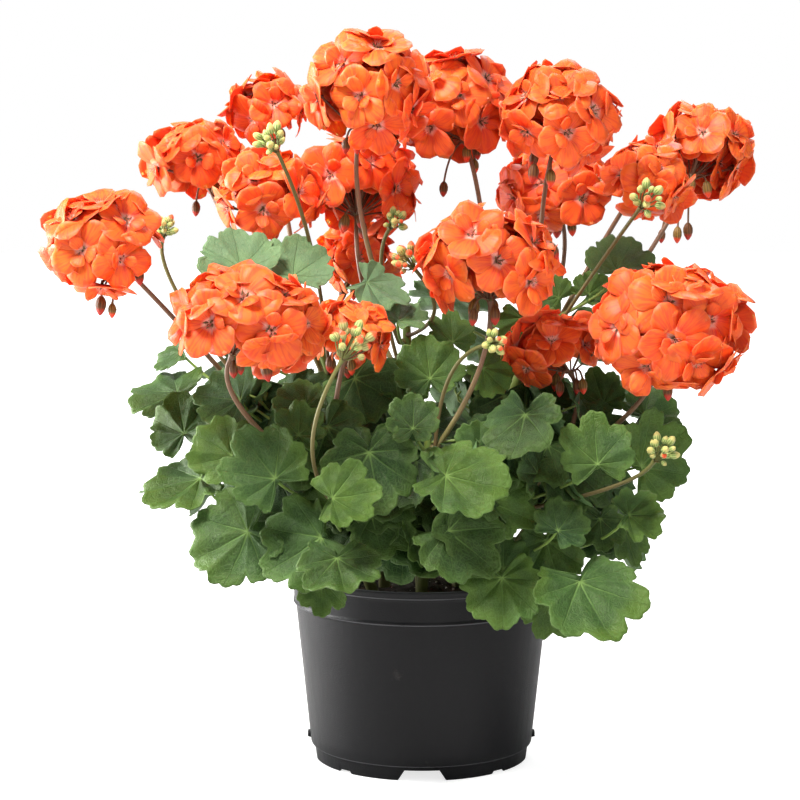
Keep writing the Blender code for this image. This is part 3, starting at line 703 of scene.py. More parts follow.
leaf_skin, tree, shader = finish_of(
    "leaf skin", Roughness=0.55, Specular_IOR_Level=0.30, Specular_Tint=(0.90, 1.0, 0.66, 1.0),
    Sheen_Weight=0.03, Sheen_Roughness=0.4, Sheen_Tint=(0.80, 1.0, 0.84, 1.0))
veins = add(tree, "ShaderNodeGroup", node_tree=leaf_veins())
veins.inputs["Main Width"].default_value = 0.011
veins.inputs["Net Scale"].default_value = 2.4
tree.links.new(add(tree, "ShaderNodeUVMap", uv_map="UVMap").outputs[0], veins.inputs["Map"])
mains, forks, net, edge, reach, under = (Tone(tree, veins.outputs[label]) for label in VEIN_PARTS)
where = own_place(tree)
tint = own_value(tree, "tint")
blotch, mottle = stain(tree, where, 55.0, 4.0), stain(tree, where, 420.0, 3.0)
hairs, pucker = stain(tree, where, 1500.0, 2.0), stain(tree, where, 130.0, 1.0)
# The leaf's base tone: random by leaf, with painted light on the high leaves and painted shade on the inner ones.
tone_with_painted_light_and_shade = tint * 0.75 + blotch * 0.35 + (mottle - 0.5) * 0.45
# Leaves set high on the plant carry a tint above one, and this share paints them pale grey-green: a painted highlight
# of the light from above.
painted_top_light = (tint - 1.0).math("MAXIMUM", 0.0).math("MINIMUM", 1.0)
colour = painted(
    tone_with_painted_light_and_shade.mix((0.004, 0.014, 0.002), (0.055, 0.104, 0.012)),
    (stain(tree, where, 13.0, 1.0).band(0.46, 0.60) * 0.45, (0.016, 0.052, 0.024)),
    (reach.band(0.35, 0.55) * (1.0 - reach.band(0.62, 0.82)) * 0.42, (0.017, 0.044, 0.010)),
    ((mains * (0.30 - reach * 0.24)).math("MAXIMUM", forks * 0.04), (0.20, 0.34, 0.09)),
    (reach.band(0.66, 1.0) * 0.30, (0.080, 0.150, 0.022)),
    (net * 0.14, (0.12, 0.25, 0.06)),
    ((1.0 - reach.band(0.0, 0.16)) * 0.45, (0.22, 0.34, 0.09)),
    (edge * 0.06, (0.26, 0.36, 0.14)),
    (under * 0.55, (0.15, 0.27, 0.11)),
    (painted_top_light * 0.55, (0.20, 0.31, 0.19)),
)
height = mains.math("MAXIMUM", forks * 0.3) * -0.8 + net * -0.16 + hairs * 0.5 + pucker * 1.6
dress(tree, shader, colour, blotch.ramp(0.3, 0.7, 0.38, 0.56), (0.8, 0.0011, height))


def stalk_finish(name, sockets, stretch, fineness, skin, line, share):
    """A stalk's skin: a colour that changes with its age, under fine lengthwise lines."""
    material, tree, shader = finish_of(name, **sockets)
    lengthwise = add(tree, "ShaderNodeMapping", {"Vector": own_place(tree), "Scale": (1.0, 1.0, stretch)})
    streak = stain(tree, lengthwise.outputs[0], fineness, 4.0)
    colour = (streak * share).mix(skin(tree, own_value(tree, "age")), line)
    dress(tree, shader, colour, relief=(0.5, 0.0004, streak))
    return material


stalk_skin = stalk_finish(
    "leaf stalk skin", {"Roughness": 0.5, "Specular_IOR_Level": 0.3, "Sheen_Weight": 0.04}, 0.15, 700.0,
    lambda tree, age: age.mix((0.20, 0.33, 0.055), (0.17, 0.13, 0.05)), (0.07, 0.10, 0.03), 0.5)
blade_meshes = [blade_mesh(kind) for kind in range(BLADE_KINDS + INNER_KINDS)]
for mesh in blade_meshes:
    mesh.materials.append(leaf_skin)
blades = kinds_of("blade", blade_meshes)


def growing_tree():
    """Lines become round stalks of their own thickness, and each marked point gets what grows there: one kind
    of the collection, turned and sized by the point, spun and varied by the seed, and ruffled by a soft noise."""
    tree, asked, go = tree_with("stalks and what they bear", {
        "Stalk Sides": "Int", "Size Spread": "Float", "Spin": "Float", "Ruffle": "Float", "Ruffle Scale": "Float",
        "Seed": "Int", "Growths": "Collection", "Stalk Material": "Material"})

    def named(name, kind):
        return add(tree, "GeometryNodeInputNamedAttribute", {0: name}, data_type=kind).outputs[0]

    def either_way(seed):
        node = add(tree, "FunctionNodeRandomValue", {2: -1.0, 3: 1.0, "Seed": seed}, data_type="FLOAT")
        return Tone(tree, node.outputs[1])

    lines = add(tree, "GeometryNodeMeshToCurve", {"Mesh": asked["Geometry"]})
    ring = add(tree, "GeometryNodeCurvePrimitiveCircle", {"Resolution": asked["Stalk Sides"], "Radius": 1.0})
    tubes = add(tree, "GeometryNodeCurveToMesh", {
        "Curve": lines.outputs[0], "Profile Curve": ring.outputs[0], "Scale": named("thick", "FLOAT"),
        "Fill Caps": True})
    smooth = add(tree, "GeometryNodeSetShadeSmooth", {"Geometry": tubes.outputs[0]})
    stalks = add(tree, "GeometryNodeSetMaterial", {"Geometry": smooth.outputs[0], "Material": asked["Stalk Material"]})
    kinds = add(tree, "GeometryNodeCollectionInfo", {
        "Collection": asked["Growths"], "Separate Children": True, "Reset Children": True})
    about = add(tree, "ShaderNodeCombineXYZ", {"Z": either_way(asked["Seed"]) * asked["Spin"]})
    turn = add(tree, "FunctionNodeRotateRotation", {0: named("turn", "FLOAT_VECTOR"), 1: about.outputs[0]},
               rotation_space="LOCAL")
    fixed_seed = add(tree, "FunctionNodeInputInt", integer=77).outputs[0]
    spread = either_way(fixed_seed).math("MULTIPLY_ADD", asked["Size Spread"], 1.0)
    size = add(tree, "ShaderNodeVectorMath", {0: named("size", "FLOAT_VECTOR"), "Scale": spread}, operation="SCALE")
    put = add(tree, "GeometryNodeInstanceOnPoints", {
        "Points": asked["Geometry"], "Selection": named("bears", "BOOLEAN"), "Instance": kinds.outputs[0],
        "Pick Instance": True, "Instance Index": named("kind", "INT"), "Rotation": turn.outputs[0],
        "Scale": size.outputs[0]})
    real = add(tree, "GeometryNodeRealizeInstances", {"Geometry": put.outputs[0]})
    spot = add(tree, "GeometryNodeInputPosition")
    soft = add(tree, "ShaderNodeTexNoise", {
        "Vector": spot.outputs[0], "Scale": asked["Ruffle Scale"], "Detail": 1.0})
    centred = add(tree, "ShaderNodeVectorMath", {0: soft.outputs["Color"], 1: (0.5, 0.5, 0.5)}, operation="SUBTRACT")
    moved = add(tree, "ShaderNodeVectorMath", {0: centred.outputs[0], "Scale": asked["Ruffle"]}, operation="SCALE")
    ruffled = add(tree, "GeometryNodeSetPosition", {"Geometry": real.outputs[0], "Offset": moved.outputs[0]})
    end_with(tree, go, stalks, ruffled)
    return tree


growing = growing_tree()
# What each point of a piece in the making carries: name, kind, and the name of its value.
CARRIED = (
    ("thick", "FLOAT", "value"), ("age", "FLOAT", "value"), ("bears", "BOOLEAN", "value"),
    ("turn", "FLOAT_VECTOR", "vector"), ("size", "FLOAT_VECTOR", "vector"), ("kind", "INT", "value"),
    ("tint", "FLOAT", "value"),
)


def grow(name, lines, growths, **values):
    """One piece from stalks, each a list of (place from the pot's axis, thickness, age), and from growths, each
    (place, turn as three angles, sizes along its own axes, kind, tint)."""
    spots, edges, rows = [], [], []
    for line in lines:
        for index, (spot, thick, age) in enumerate(line):
            if index:
                edges.append((len(spots) - 1, len(spots)))
            spots.append(place(*spot))
            rows.append((thick * MM, age, False, (0.0, 0.0, 0.0), (1.0, 1.0, 1.0), 0, age))
    for spot, turn, size, kind, tint in growths:
        spots.append(place(*spot))
        rows.append((MM, 0.0, True, tuple(turn), tuple(size), kind, tint))
    mesh = bpy.data.meshes.new(name)
    mesh.from_pydata(spots, edges, [])
    for column, (label, kind, key) in enumerate(CARRIED):
        data = np.array([row[column] for row in rows]).ravel()
        mesh.attributes.new(label, kind, "POINT").data.foreach_set(key, data)
    return grown(stand(name, mesh), growing, values)


def arc(start, pull, end, steps):
    """Points along a curve that leaves its start towards a place and comes to its end from there."""
    shares = [i / steps for i in range(steps + 1)]
    return [start.lerp(pull, t).lerp(pull.lerp(end, t), t) for t in shares]


def on_stem(stem, height):
    """The middle of a leafy stem and its radius at a height."""
    line = STEMS[stem]
    for low, high in zip(line, line[1:]):
        if height <= high[2]:
            t = (height - low[2]) / (high[2] - low[2])
            return Vector(low[:3]).lerp(Vector(high[:3]), t), low[3] + (high[3] - low[3]) * t
    return Vector(line[-1][:3]), line[-1][3]


def blade_turn(facing, lift, roll):
    """The turn of a blade, and the way that its upper face looks."""
    face = compass(facing, lift)
    down = (Vector((0, 0, -1)) + face * face.z).normalized()
    angle = math.radians(roll)
    tip = down * math.cos(angle) + face.cross(down) * math.sin(angle)
    return Matrix((tip, face.cross(tip), face)).transposed().to_euler(), face


def back_leaves(stem, chance):
    """The leaves of a stem at the back, spread between its bearings and up its height."""
    first, last = BACK_STEMS[stem]
    leaves = []
    for index in range(BACK_LEAVES):
        share = (index + 0.5) / BACK_LEAVES
        bearing = first + (last - first) * ((index * GOLDEN) % 1.0)
        spot = compass(bearing) * (118.0 + 50.0 * math.sin(math.pi * (0.25 + 0.6 * share)))
        width = chance.uniform(54.0, 70.0)
        facing = bearing + chance.uniform(-12.0, 12.0)
        lift = 18.0 + 30.0 * share + chance.uniform(-6.0, 6.0)
        leaves.append((spot.x, spot.y, 165.0 + 185.0 * share, width, facing, lift, chance.uniform(-30.0, 30.0)))
    return leaves


def leaf_stalk(root, middle, face, steps):
    """The line of a leaf's stalk from its stem to the underside of the blade, which it meets squarely."""
    hub = middle - face * 0.8
    return arc(root, hub - face * (0.4 * (hub - root).length), hub, steps)


def inner_leaves(stem, vary):
    """The young leaves between the stems, each as in LEAVES with its kind of blade."""
    around = math.degrees(math.atan2(STEMS[stem][-1][1], STEMS[stem][-1][0]))
    leaves = [(*leaf, BLADE_KINDS + vary.randrange(INNER_KINDS)) for leaf in FILLING.get(stem, ())]
    for index in range(INNER_LEAVES):
        height = 182.0 + 104.0 * (index + vary.random()) / INNER_LEAVES
        spot = compass(around + vary.uniform(-42.0, 42.0)) * (30.0 + 106.0 * math.sqrt(vary.random()))
        width, facing = vary.uniform(46.0, 64.0), around + vary.uniform(-40.0, 40.0)
        lift, roll = vary.uniform(10.0, 50.0), vary.uniform(-40.0, 40.0)
        leaves.append((spot.x, spot.y, height, width, facing, lift, roll, BLADE_KINDS + vary.randrange(INNER_KINDS)))
    return leaves


for stem in STEMS:
    vary = random.Random("looks " + stem)
    leaves = LEAVES[stem] if stem in LEAVES else back_leaves(stem, random.Random("leaves " + stem))
    foot, tip = STEMS[stem][0][2], STEMS[stem][-1][2]
    heights, lines, growths = [], [], []
    for x, y, z, width, facing, lift, roll in leaves:
        turn, face = blade_turn(facing, lift, roll)
        middle = Vector((x, y, z))
        away = (middle.xy - on_stem(stem, z)[0].xy).length
        root = on_stem(stem, max(156.0, min(tip - 8.0, z - 0.55 * away)))[0]
        heights.append(root.z)
        line = [(spot, 1.35 - 0.035 * i, 0.035 * (10 - i)) for i, spot in enumerate(leaf_stalk(root, middle, face, 10))]
        for end, swollen in ((0, 2.25), (-1, 1.25)):
            line[end] = (line[end][0], swollen, line[end][2])
        lines.append(line)
        thick, kind = width * vary.uniform(0.8, 1.15), vary.randrange(BLADE_KINDS)
        # Leaves higher than 320 mm get a tint above one, which paints them paler: painted light from above.
        tint = vary.uniform(-0.12, 0.95) + max(0.0, (z - 320.0) / 40.0)
        growths.append((middle, turn, (width * MM, width * MM, thick * MM), kind, tint))
    for x, y, z, width, facing, lift, roll, kind in inner_leaves(stem, vary):
        turn, face = blade_turn(facing, lift, roll)
        middle = Vector((x, y, z))
        root = on_stem(stem, max(160.0, min(tip - 8.0, z - 25.0)))[0]
        lines.append([(spot, 1.2 - 0.05 * i, 0.3) for i, spot in enumerate(leaf_stalk(root, middle, face, 6))])
        # These leaves get a low tint, which paints them darker: painted shade inside the leaf mass.
        growths.append((middle, turn, (width * MM,) * 3, kind, vary.uniform(-0.25, 0.12)))
    trunk = []
    for i in range(41):
        z = foot + (tip - foot) * i / 40
        middle, thick = on_stem(stem, z)
        swell = sum(math.exp(-((z - h) / 3.0) ** 2) for h in heights)
        trunk.append((middle, thick * (0.92 + 0.12 * min(1.3, swell)), 1.0 - 0.75 * i / 40))
    trunk.append((on_stem(stem, tip)[0] + Vector((0, 0, 2.0)), 1.2, 0.2))
    piece = grow("leafy_stem_and_leaves_" + stem, [trunk] + lines, growths, **{
        "Stalk Sides": 8, "Size Spread": 0.0, "Spin": 0.0, "Ruffle": 0.004, "Ruffle Scale": 22.0, "Seed": 3,
        "Growths": blades, "Stalk Material": stalk_skin})
    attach(piece, "root")
    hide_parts("leafy_stem_" + stem)

# The flower stalks: a slim brown-red stalk for each head leaves a leafy stem at a joint, bends up to the light
# and ends in a small knob with bracts. From the knob fine dark red stalks spread, each to the cup of one floret,
# and a few unopened or faded buds hang below some heads.
MEAN_HEAD, CORE_RADIUS, STALK_RADIUS, GAP = 46.0, 12.0, 1.7, 0.3
# Each head: leafy stem, height at which its stalk leaves that stem, a place on the way, its centre, and its half
# width, half depth and half height.
HEADS = {
    "a": ("01", 262, (-168, -48, 325), (-229, -95, 399), (47, 45, 42)),
    "b": ("06", 320, (-128, 25, 372), (-173, 78, 449), (45, 43, 33)),
    "c": ("09", 300, (-104, 105, 400), (-117, 108, 488), (35, 34, 30)),
    "d": ("06", 292, (-104, 18, 362), (-112, 0, 428), (46, 41, 36)),
    "e": ("07", 320, (-44, -28, 410), (-40, -42, 508), (49, 45, 51)),
    "f": ("08", 262, (48, 10, 390), (23, 38, 493), (48, 43, 47)),
    "g": ("07", 290, (-42, 15, 350), (-48, 56, 432), (52, 43, 43)),
    "h": ("08", 328, (88, -20, 400), (100, -62, 489), (47, 43, 45)),
    "i": ("10", 290, (108, 80, 355), (104, 66, 425), (49, 43, 34)),
    "j": ("08", 288, (135, 32, 385), (168, 5, 438), (36, 36, 36)),
    "k": ("10", 275, (150, 55, 345), (218, 92, 453), (45, 43, 41)),
    "l": ("03", 250, (40, -88, 306), (47, -92, 387), (54, 45, 45)),
    "m": ("02", 225, (-128, -118, 282), (-124, -135, 349), (60, 49, 43)),
    "n": ("02", 250, (-62, -88, 290), (-51, -91, 334), (33, 31, 30)),
    "o": ("05", 235, (155, -42, 272), (179, -90, 338), (62, 51, 54)),
    "p": ("04", 215, (110, -56, 262), (102, -38, 317), (48, 29, 32)),
    "q": ("09", 262, (-50, 120, 310), (-50, 112, 368), (35, 32, 32)),
    "r": ("09", 310, (-50, 140, 365), (-46, 150, 430), (41, 36, 36)),
    "s": ("10", 265, (90, 130, 348), (106, 152, 432), (41, 39, 36)),
}
# Where a bud hangs below a head in plain sight.
HANGING = {
    "a": ((-231, -96, 357),
        (-223, -98, 352)), "b": ((-173, 68, 412),), "e": ((-22, -46, 470),), "f": ((17, 30, 430), (40, 28, 447)),
    "h": ((81, -66, 450), (93, -66, 446)), "k": ((187, 84, 389), (199, 84, 391),
        (207, 84, 394)), "l": ((92, -96, 395),),
    "m": ((-112, -140, 316),), "o": ((196, -96, 302), (204, -92, 304), (177, -96, 294)),
}
# How far down its ball a head's florets reach: 1 is half way. The heads named here are fuller than the rest.
FULLER, USUAL_REACH = {"e": 1.76, "f": 1.86, "g": 1.66}, 1.56


def bezier(start, middle, end, steps):
    """Points along a curve that passes the middle place halfway."""
    return arc(start, middle * 2.0 - (start + end) * 0.5, end, steps)


def stalk_line(stem, height, via, end, shorten, steps):
    """The line of a flower stalk, from its foot at the leafy stem to its knob, and the way that it ends in."""
    middle, radius = on_stem(stem, height)
    along = (on_stem(stem, height + 2.0)[0] - on_stem(stem, height - 2.0)[0]).normalized()
    outward = Vector((via[0] - middle.x, via[1] - middle.y, 0))
    outward = (outward - along * outward.dot(along)).normalized()
    foot = middle + outward * (radius * 0.7)
    bend = middle + outward * (radius + GAP + 2.6)
    via, end = Vector(via), Vector(end)
    heading = (end - (via * 2.0 - (bend + end) * 0.5)).normalized()
    top = end - heading * shorten
    return [foot] + bezier(bend, via, top - heading * 3.5, steps) + [top], heading


def floret_places(letter):
    """Where the florets of a head sit and which way they look, spread by the golden angle over its ball."""
    stem, height, via, centre, half = HEADS[letter]
    heading = stalk_line(stem, height, via, centre, 0.795 * CORE_RADIUS + GAP, 3)[1]
    turn = heading.to_track_quat("Z", "Y")
    chance = random.Random("florets " + letter)
    mean = (half[0] + half[1] + half[2]) / 3
    reach = FULLER.get(letter, USUAL_REACH)
    count = max(9, round(8.85 * reach * (mean / MEAN_HEAD) ** 2))
    size = min(1.10, max(0.84, 0.52 + 0.50 * mean / MEAN_HEAD))
    spots = []
    for index in range(count):
        z = 1.0 - reach * index / count
        flat = math.sqrt(max(0.0, 1.0 - z * z))
        angle = index * math.tau * GOLDEN + chance.uniform(-0.18, 0.18)
        ball = turn @ Vector((flat * math.cos(angle), flat * math.sin(angle), z))
        deep = chance.uniform(0.84, 1.0)
        inner = [max(9.0, h - 10.5 * size) * deep for h in half]
        spot = Vector(centre) + Vector([a * b for a, b in zip(ball, inner)])
        look = Vector([a / b for a, b in zip(ball, half)]).normalized()
        look = (look + Vector([chance.uniform(-0.26, 0.26) for _ in range(3)])).normalized()
        spots.append((spot, look, size * chance.uniform(0.93, 1.05)))
        if index % 2:
            spots.append((Vector(centre).lerp(spot, 0.55), look, 0.85 * size))
    return spots


def ringed(name, rings, sides):
    """A closed slim body about Z from rings of (radius, height), with a map of turn and height."""
    shape = bmesh.new()
    layer = shape.loops.layers.uv.new("UVMap")
    rows = [[shape.verts.new(spot) for spot in circle(radius, z, sides)] for radius, z in rings]
    low_z, high_z = min(z for _, z in rings), max(z for _, z in rings)
    for low, high in zip(rows, rows[1:]):
        for i, corners in enumerate(bridge(low, high)):
            made = shape.faces.new(corners)
            made.smooth = True
            for loop in made.loops:
                far_side = loop.vert not in (low[i % len(low)], high[i % len(high)])
                loop[layer].uv = ((i + far_side) / sides, (loop.vert.co.z - low_z) / (high_z - low_z))
    bmesh.ops.recalc_face_normals(shape, faces=shape.faces)
    return mesh_of(name, shape)


def pointed_scale(shape, about, lean, length, width, thick=0.7):
    """A small pointed leaf of a cup or bract: a thin diamond that leans out from the axis."""
    turn = Matrix.Rotation(about, 3, "Z") @ Matrix.Rotation(-lean, 3, "Y")
    rows = []
    for height, half_width in ((0.0, 0.35), (0.4, 0.5), (0.8, 0.22)):
        corners = [(thick * side, half_width * width * across, height * length)
                   for across, side in ((-1, 0.0), (0, 0.6), (1, 0.0), (0, -0.4))]
        rows.append([shape.verts.new(turn @ Vector(corner)) for corner in corners])
    rows.append([shape.verts.new(turn @ Vector((0.0, 0.0, length)))])
    for low, high in zip(rows, rows[1:]):
        for corners in bridge(low, high):
            shape.faces.new(corners)
    shape.faces.new(list(reversed(rows[0])))


def scales_mesh(name, count, lean, length, width, cup):
    """A cup or collar: a small round base with pointed scales round it."""
    shape = bmesh.new()
    bmesh.ops.create_cone(shape, cap_ends=True, segments=6, radius1=cup * 0.5, radius2=cup, depth=2.4,
                          matrix=Matrix.Translation((0, 0, -0.6)))
    for index in range(count):
        pointed_scale(shape, index * math.tau / count, lean, length, width)
    bmesh.ops.recalc_face_normals(shape, faces=shape.faces)
    mesh = mesh_of(name, shape)
    mesh.shade_smooth()
    return mesh


def flushed_skin(tree, age):
    """Green near the foot of a flower stalk and brown-red above, with an uneven border."""
    flush = stain(tree, own_place(tree), 26.0, 3.0)
    return (age + (flush - 0.5) * 0.5).band(0.12, 0.5).mix((0.14, 0.15, 0.040), (0.120, 0.055, 0.028))


flower_stalk_skin = stalk_finish(
    "flower stalk skin", {"Roughness": 0.45, "Specular_IOR_Level": 0.35, "Sheen_Weight": 0.05}, 0.12, 650.0,
    flushed_skin, (0.24, 0.135, 0.070), 0.65)
cup_skin, tree, shader = finish_of("floret cup skin", Roughness=0.5, Specular_IOR_Level=0.35, Sheen_Weight=0.05)
flush = stain(tree, own_place(tree), 240.0, 3.0)
dress(tree, shader, flush.band(0.38, 0.66).mix((0.135, 0.13, 0.045), (0.20, 0.045, 0.028)))

# The sections of an upright and of a hanging bud, (radius, height) in millimetres.
BUD = ((0.0, -0.4), (1.2, -0.1), (2.4, 1.2), (3.2, 2.9), (3.1, 4.9), (2.3, 6.7), (1.1, 8.0), (0.0, 8.6))
HANGING_BUD = (
    (0.0, -0.5), (1.4, -0.2), (2.9, 1.6), (3.9, 4.2), (3.9, 7.2), (3.0, 10.2), (1.4, 12.8), (0.0, 14.0))


def bud_skin(name, tip, flank, ridge):
    """The skin of a bud: pale lengthwise ribs on green, and the coloured tip where the petals show."""
    material, tree, shader = finish_of(name, Roughness=0.5, Specular_IOR_Level=0.3, Sheen_Weight=0.06)
    around, up = map_parts(tree)
    rib = abs((around * 10.0).math("FRACT") - 0.5).band(0.1, 0.4)
    dress(tree, shader, painted(flank, (rib, ridge), (up.band(0.55, 0.78), tip)), relief=(0.4, 0.0004, rib))
    return material


green_bud_skin = bud_skin("green bud skin", (0.52, 0.46, 0.15), (0.17, 0.26, 0.055), (0.42, 0.47, 0.17))
red_bud_skin = bud_skin("red-tipped bud skin", (0.78, 0.10, 0.03), (0.26, 0.25, 0.07), (0.48, 0.42, 0.17))
faded_bud_skin = bud_skin("hanging bud skin", (0.46, 0.026, 0.012), (0.085, 0.028, 0.008), (0.15, 0.060, 0.014))
drooping_red_skin = bud_skin(
    "hanging bud with colour skin", (0.78, 0.055, 0.016), (0.12, 0.060, 0.012), (0.22, 0.13, 0.026))


def skinned(*pairs):
    """The meshes of pairs of a mesh and its skin, each with its skin on."""
    for mesh, skin in pairs:
        mesh.materials.append(skin)
    return [mesh for mesh, _ in pairs]


cups = kinds_of("growth", skinned(
    (scales_mesh("floret cup", 5, 0.62, 6.8, 2.6, 1.5), cup_skin),
    (scales_mesh("collar of bracts", 8, 1.15, 5.5, 3.0, 2.6), cup_skin),
    (ringed("hanging bud", HANGING_BUD, 8), faded_bud_skin),
    (ringed("hanging bud with colour", HANGING_BUD, 8), drooping_red_skin)))


def facing_turn(look, spin=0.0):
    """The turn that points a thing's own Z the way it looks."""
    return (look.to_track_quat("Z", "Y").to_matrix() @ Matrix.Rotation(spin, 3, "Z")).to_euler()


def main_stalk(points, thick, taper, foot, top):
    """A stalk's line with its thickness, which tapers and is swollen at its foot and top, and its age."""
    line = []
    for i, spot in enumerate(points):
        swollen = foot if i == 0 else top if i == len(points) - 1 else 0.0
        line.append((spot, thick * (1.0 - taper * i / len(points)) + swollen, i / len(points)))
    return line


for letter in HEADS:
    stem, height, via, centre, half = HEADS[letter]
    chance = random.Random("stalk " + letter)
    points, heading = stalk_line(stem, height, via, centre, 0.62 * half[2], 18)
    lines = [main_stalk(points, STALK_RADIUS * 1.25, 0.24, 1.1, 0.9)]
    knob = points[-1]
    growths = [(knob, facing_turn(heading), (MM, MM, MM), 1, chance.random())]
    for spot, look, size in floret_places(letter):
        base = spot - look * (2.2 * size)
        outwards = Vector((base.x - knob.x, base.y - knob.y, 0.0))
        middle = knob.lerp(base, 0.5) + outwards * 0.06 - look * 1.0
        lines.append([(co, 0.70 + 0.45 * (i / 6) ** 3, 0.8) for i, co in enumerate(bezier(knob, middle, base, 6))])
        growths.append((base, facing_turn(look, chance.uniform(0, 1)), (size * MM,) * 3, 0, chance.random()))
    drooping = [Vector(spot) + Vector((0, 0, 6.0)) for spot in HANGING.get(letter, ())]
    for index in range(4):
        about, out = chance.uniform(0, math.tau), chance.uniform(8.0, 15.0)
        drooping.append(knob + Vector((out * math.cos(about), out * math.sin(about), chance.uniform(-5.0, 3.0))))
    for index, end in enumerate(drooping):
        over = knob.lerp(end, 0.5) + Vector((end.x - knob.x, end.y - knob.y, 0.0)) * 0.12 + Vector((0, 0, 5.0))
        line = bezier(knob, over, end, 8)
        look = (Vector((0, 0, -1.2)) + (line[-1] - line[-3]).normalized() * 0.5).normalized()
        lines.append([(co, 0.8, 0.8) for co in line])
        bud_size = MM * chance.uniform(0.8, 1.05)
        growths.append((end, facing_turn(look, index), (bud_size,) * 3, 2 + (index % 2), chance.random()))
        growths.append((end, facing_turn(look, index + 0.4), (MM * 0.85,) * 3, 0, chance.random()))
    piece = grow("flower_stalk_and_cups_" + letter, lines, growths, **{
        "Stalk Sides": 7, "Size Spread": 0.08, "Spin": 0.3, "Ruffle": 0.0, "Ruffle Scale": 60.0, "Seed": ord(letter),
        "Growths": cups, "Stalk Material": flower_stalk_skin})
    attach(piece, "root")
    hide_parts("flower_stalk_" + letter)

# The flower heads: balls of semi-double florets. Each floret has five broad, round-ended petals that overlap in
# a shallow bowl, one to four small folded petals inside them, and fine red stamens in a pale throat.
INNER_PETALS = (2, 3, 1, 3, 2, 4)
FLORET_KINDS = len(INNER_PETALS)
PETAL_ROWS, PETAL_COLUMNS = 6, 5


def petal_into(shape, layer, chance, about, length, width, rise, curl, lean, lift):
    """One petal: a thin closed blade, narrow at its claw and blunt and softly frilled at its end."""
    phase, frill = chance.uniform(0, math.tau), chance.uniform(0.5, 1.0)
    hollow = chance.uniform(-0.20, 0.06)
    turn = Matrix.Rotation(about, 3, "Z")
    last_row, last_column = PETAL_ROWS - 1, PETAL_COLUMNS - 1
    sheets = []
    for under in (0, 1):
        rows = []
        for i in range(PETAL_ROWS):
            t = i / last_row
            row = []
            for j in range(PETAL_COLUMNS):
                u = -1.0 + 2.0 * j / last_column
                s = t * (1.0 - 0.34 * abs(u) ** 2.3 * t)
                x = 1.0 + (length - 1.0) * s
                y = 0.5 * width * u * (0.15 + 0.85 * math.sin(min(1.0, t / 0.78) * math.pi / 2) ** 0.9)
                z = lift + length * (rise * s - curl * s ** 3)
                z += hollow * width * u * u * s + 0.25 * (1.0 - abs(u)) ** 2 * s
                z += frill * 0.9 * math.sin(2.9 * u + phase) * s * s + 0.5 * math.sin(5.3 * u + 2 * phase) * s ** 4
                z += y * math.tan(lean) - under * (0.48 - 0.2 * t)
                row.append(shape.verts.new(turn @ Vector((x, y, z))))
            rows.append(row)
        sheets.append(rows)
    for under, rows in enumerate(sheets):
        for i in range(last_row):
            for j in range(last_column):
                ids = [(i, j), (i + 1, j), (i + 1, j + 1), (i, j + 1)]
                if under:
                    ids.reverse()
                uvs = [(b / last_column + UNDER * under, a / last_row) for a, b in ids]
                mapped_face(shape, layer, [rows[a][b] for a, b in ids], uvs)
    border = [(0, j) for j in range(PETAL_COLUMNS)] + [(i, last_column) for i in range(1, PETAL_ROWS)]
    border += [(last_row, j) for j in range(last_column - 1, -1, -1)] + [(i, 0) for i in range(last_row - 1, 0, -1)]
    for (a, b), (c, d) in zip(border, border[1:] + border[:1]):
        uvs = [(b / last_column, a / last_row), (d / last_column, c / last_row)] * 2
        mapped_face(shape, layer, [sheets[0][a][b], sheets[0][c][d], sheets[1][c][d], sheets[1][a][b]], uvs)


def stamen_into(shape, layer, foot, tip):
    """One stamen: a thread of three sides with its swollen end, coloured by the map's second part."""
    rows = []
    for share, thick in ((0.0, 0.20), (0.72, 0.15), (0.86, 0.34), (1.0, 0.10)):
        spot = foot.lerp(tip, share)
        around = [Vector((thick * math.cos(a), thick * math.sin(a), 0)) for a in (0.0, 2.09, 4.19)]
        rows.append([shape.verts.new(spot + out) for out in around])
    for number, (low, high) in enumerate(zip(rows, rows[1:])):
        for corners in bridge(low, high):
            made = shape.faces.new(corners)
            made.material_index = 1
            made.smooth = True
            for loop in made.loops:
                loop[layer].uv = (0.5, 0.0 if number == 0 else 1.0)
    shape.faces.new(rows[-1]).material_index = 1


def floret_mesh(kind):
    """A floret about Z in millimetres: overlapping outer petals, folded inner ones, stamens."""
    chance = random.Random(f"floret {kind}")
    shape = bmesh.new()
    layer = shape.loops.layers.uv.new("UVMap")
    open_by = chance.uniform(0.10, 0.34)
    for index in range(5):
        petal_into(
            shape, layer, chance, about=index * math.tau / 5 + chance.uniform(-0.12, 0.12),
            length=chance.uniform(23.0, 26.5), width=chance.uniform(20.0, 24.5),
            rise=open_by + chance.uniform(-0.12, 0.12), curl=chance.uniform(0.06, 0.30),
            lean=chance.uniform(0.02, 0.16), lift=chance.uniform(-0.3, 0.3))
    for index in range(INNER_PETALS[kind]):
        petal_into(
            shape, layer, chance, about=index * math.tau / 3 + chance.uniform(0.2, 1.0),
            length=chance.uniform(10.5, 15.0), width=chance.uniform(9.0, 13.0), rise=chance.uniform(0.55, 0.95),
            curl=chance.uniform(0.15, 0.35), lean=chance.uniform(-0.3, 0.5), lift=0.8)
    for index in range(6):
        about = index * math.tau / 6 + chance.uniform(-0.3, 0.3)
        foot = Vector((0.7 * math.cos(about), 0.7 * math.sin(about), 0.4))
        tip = Vector((2.3 * math.cos(about), 2.3 * math.sin(about), chance.uniform(4.5, 7.0)))
        stamen_into(shape, layer, foot, tip)
    bmesh.ops.recalc_face_normals(shape, faces=shape.faces)
    return mesh_of(f"floret {kind}", shape)


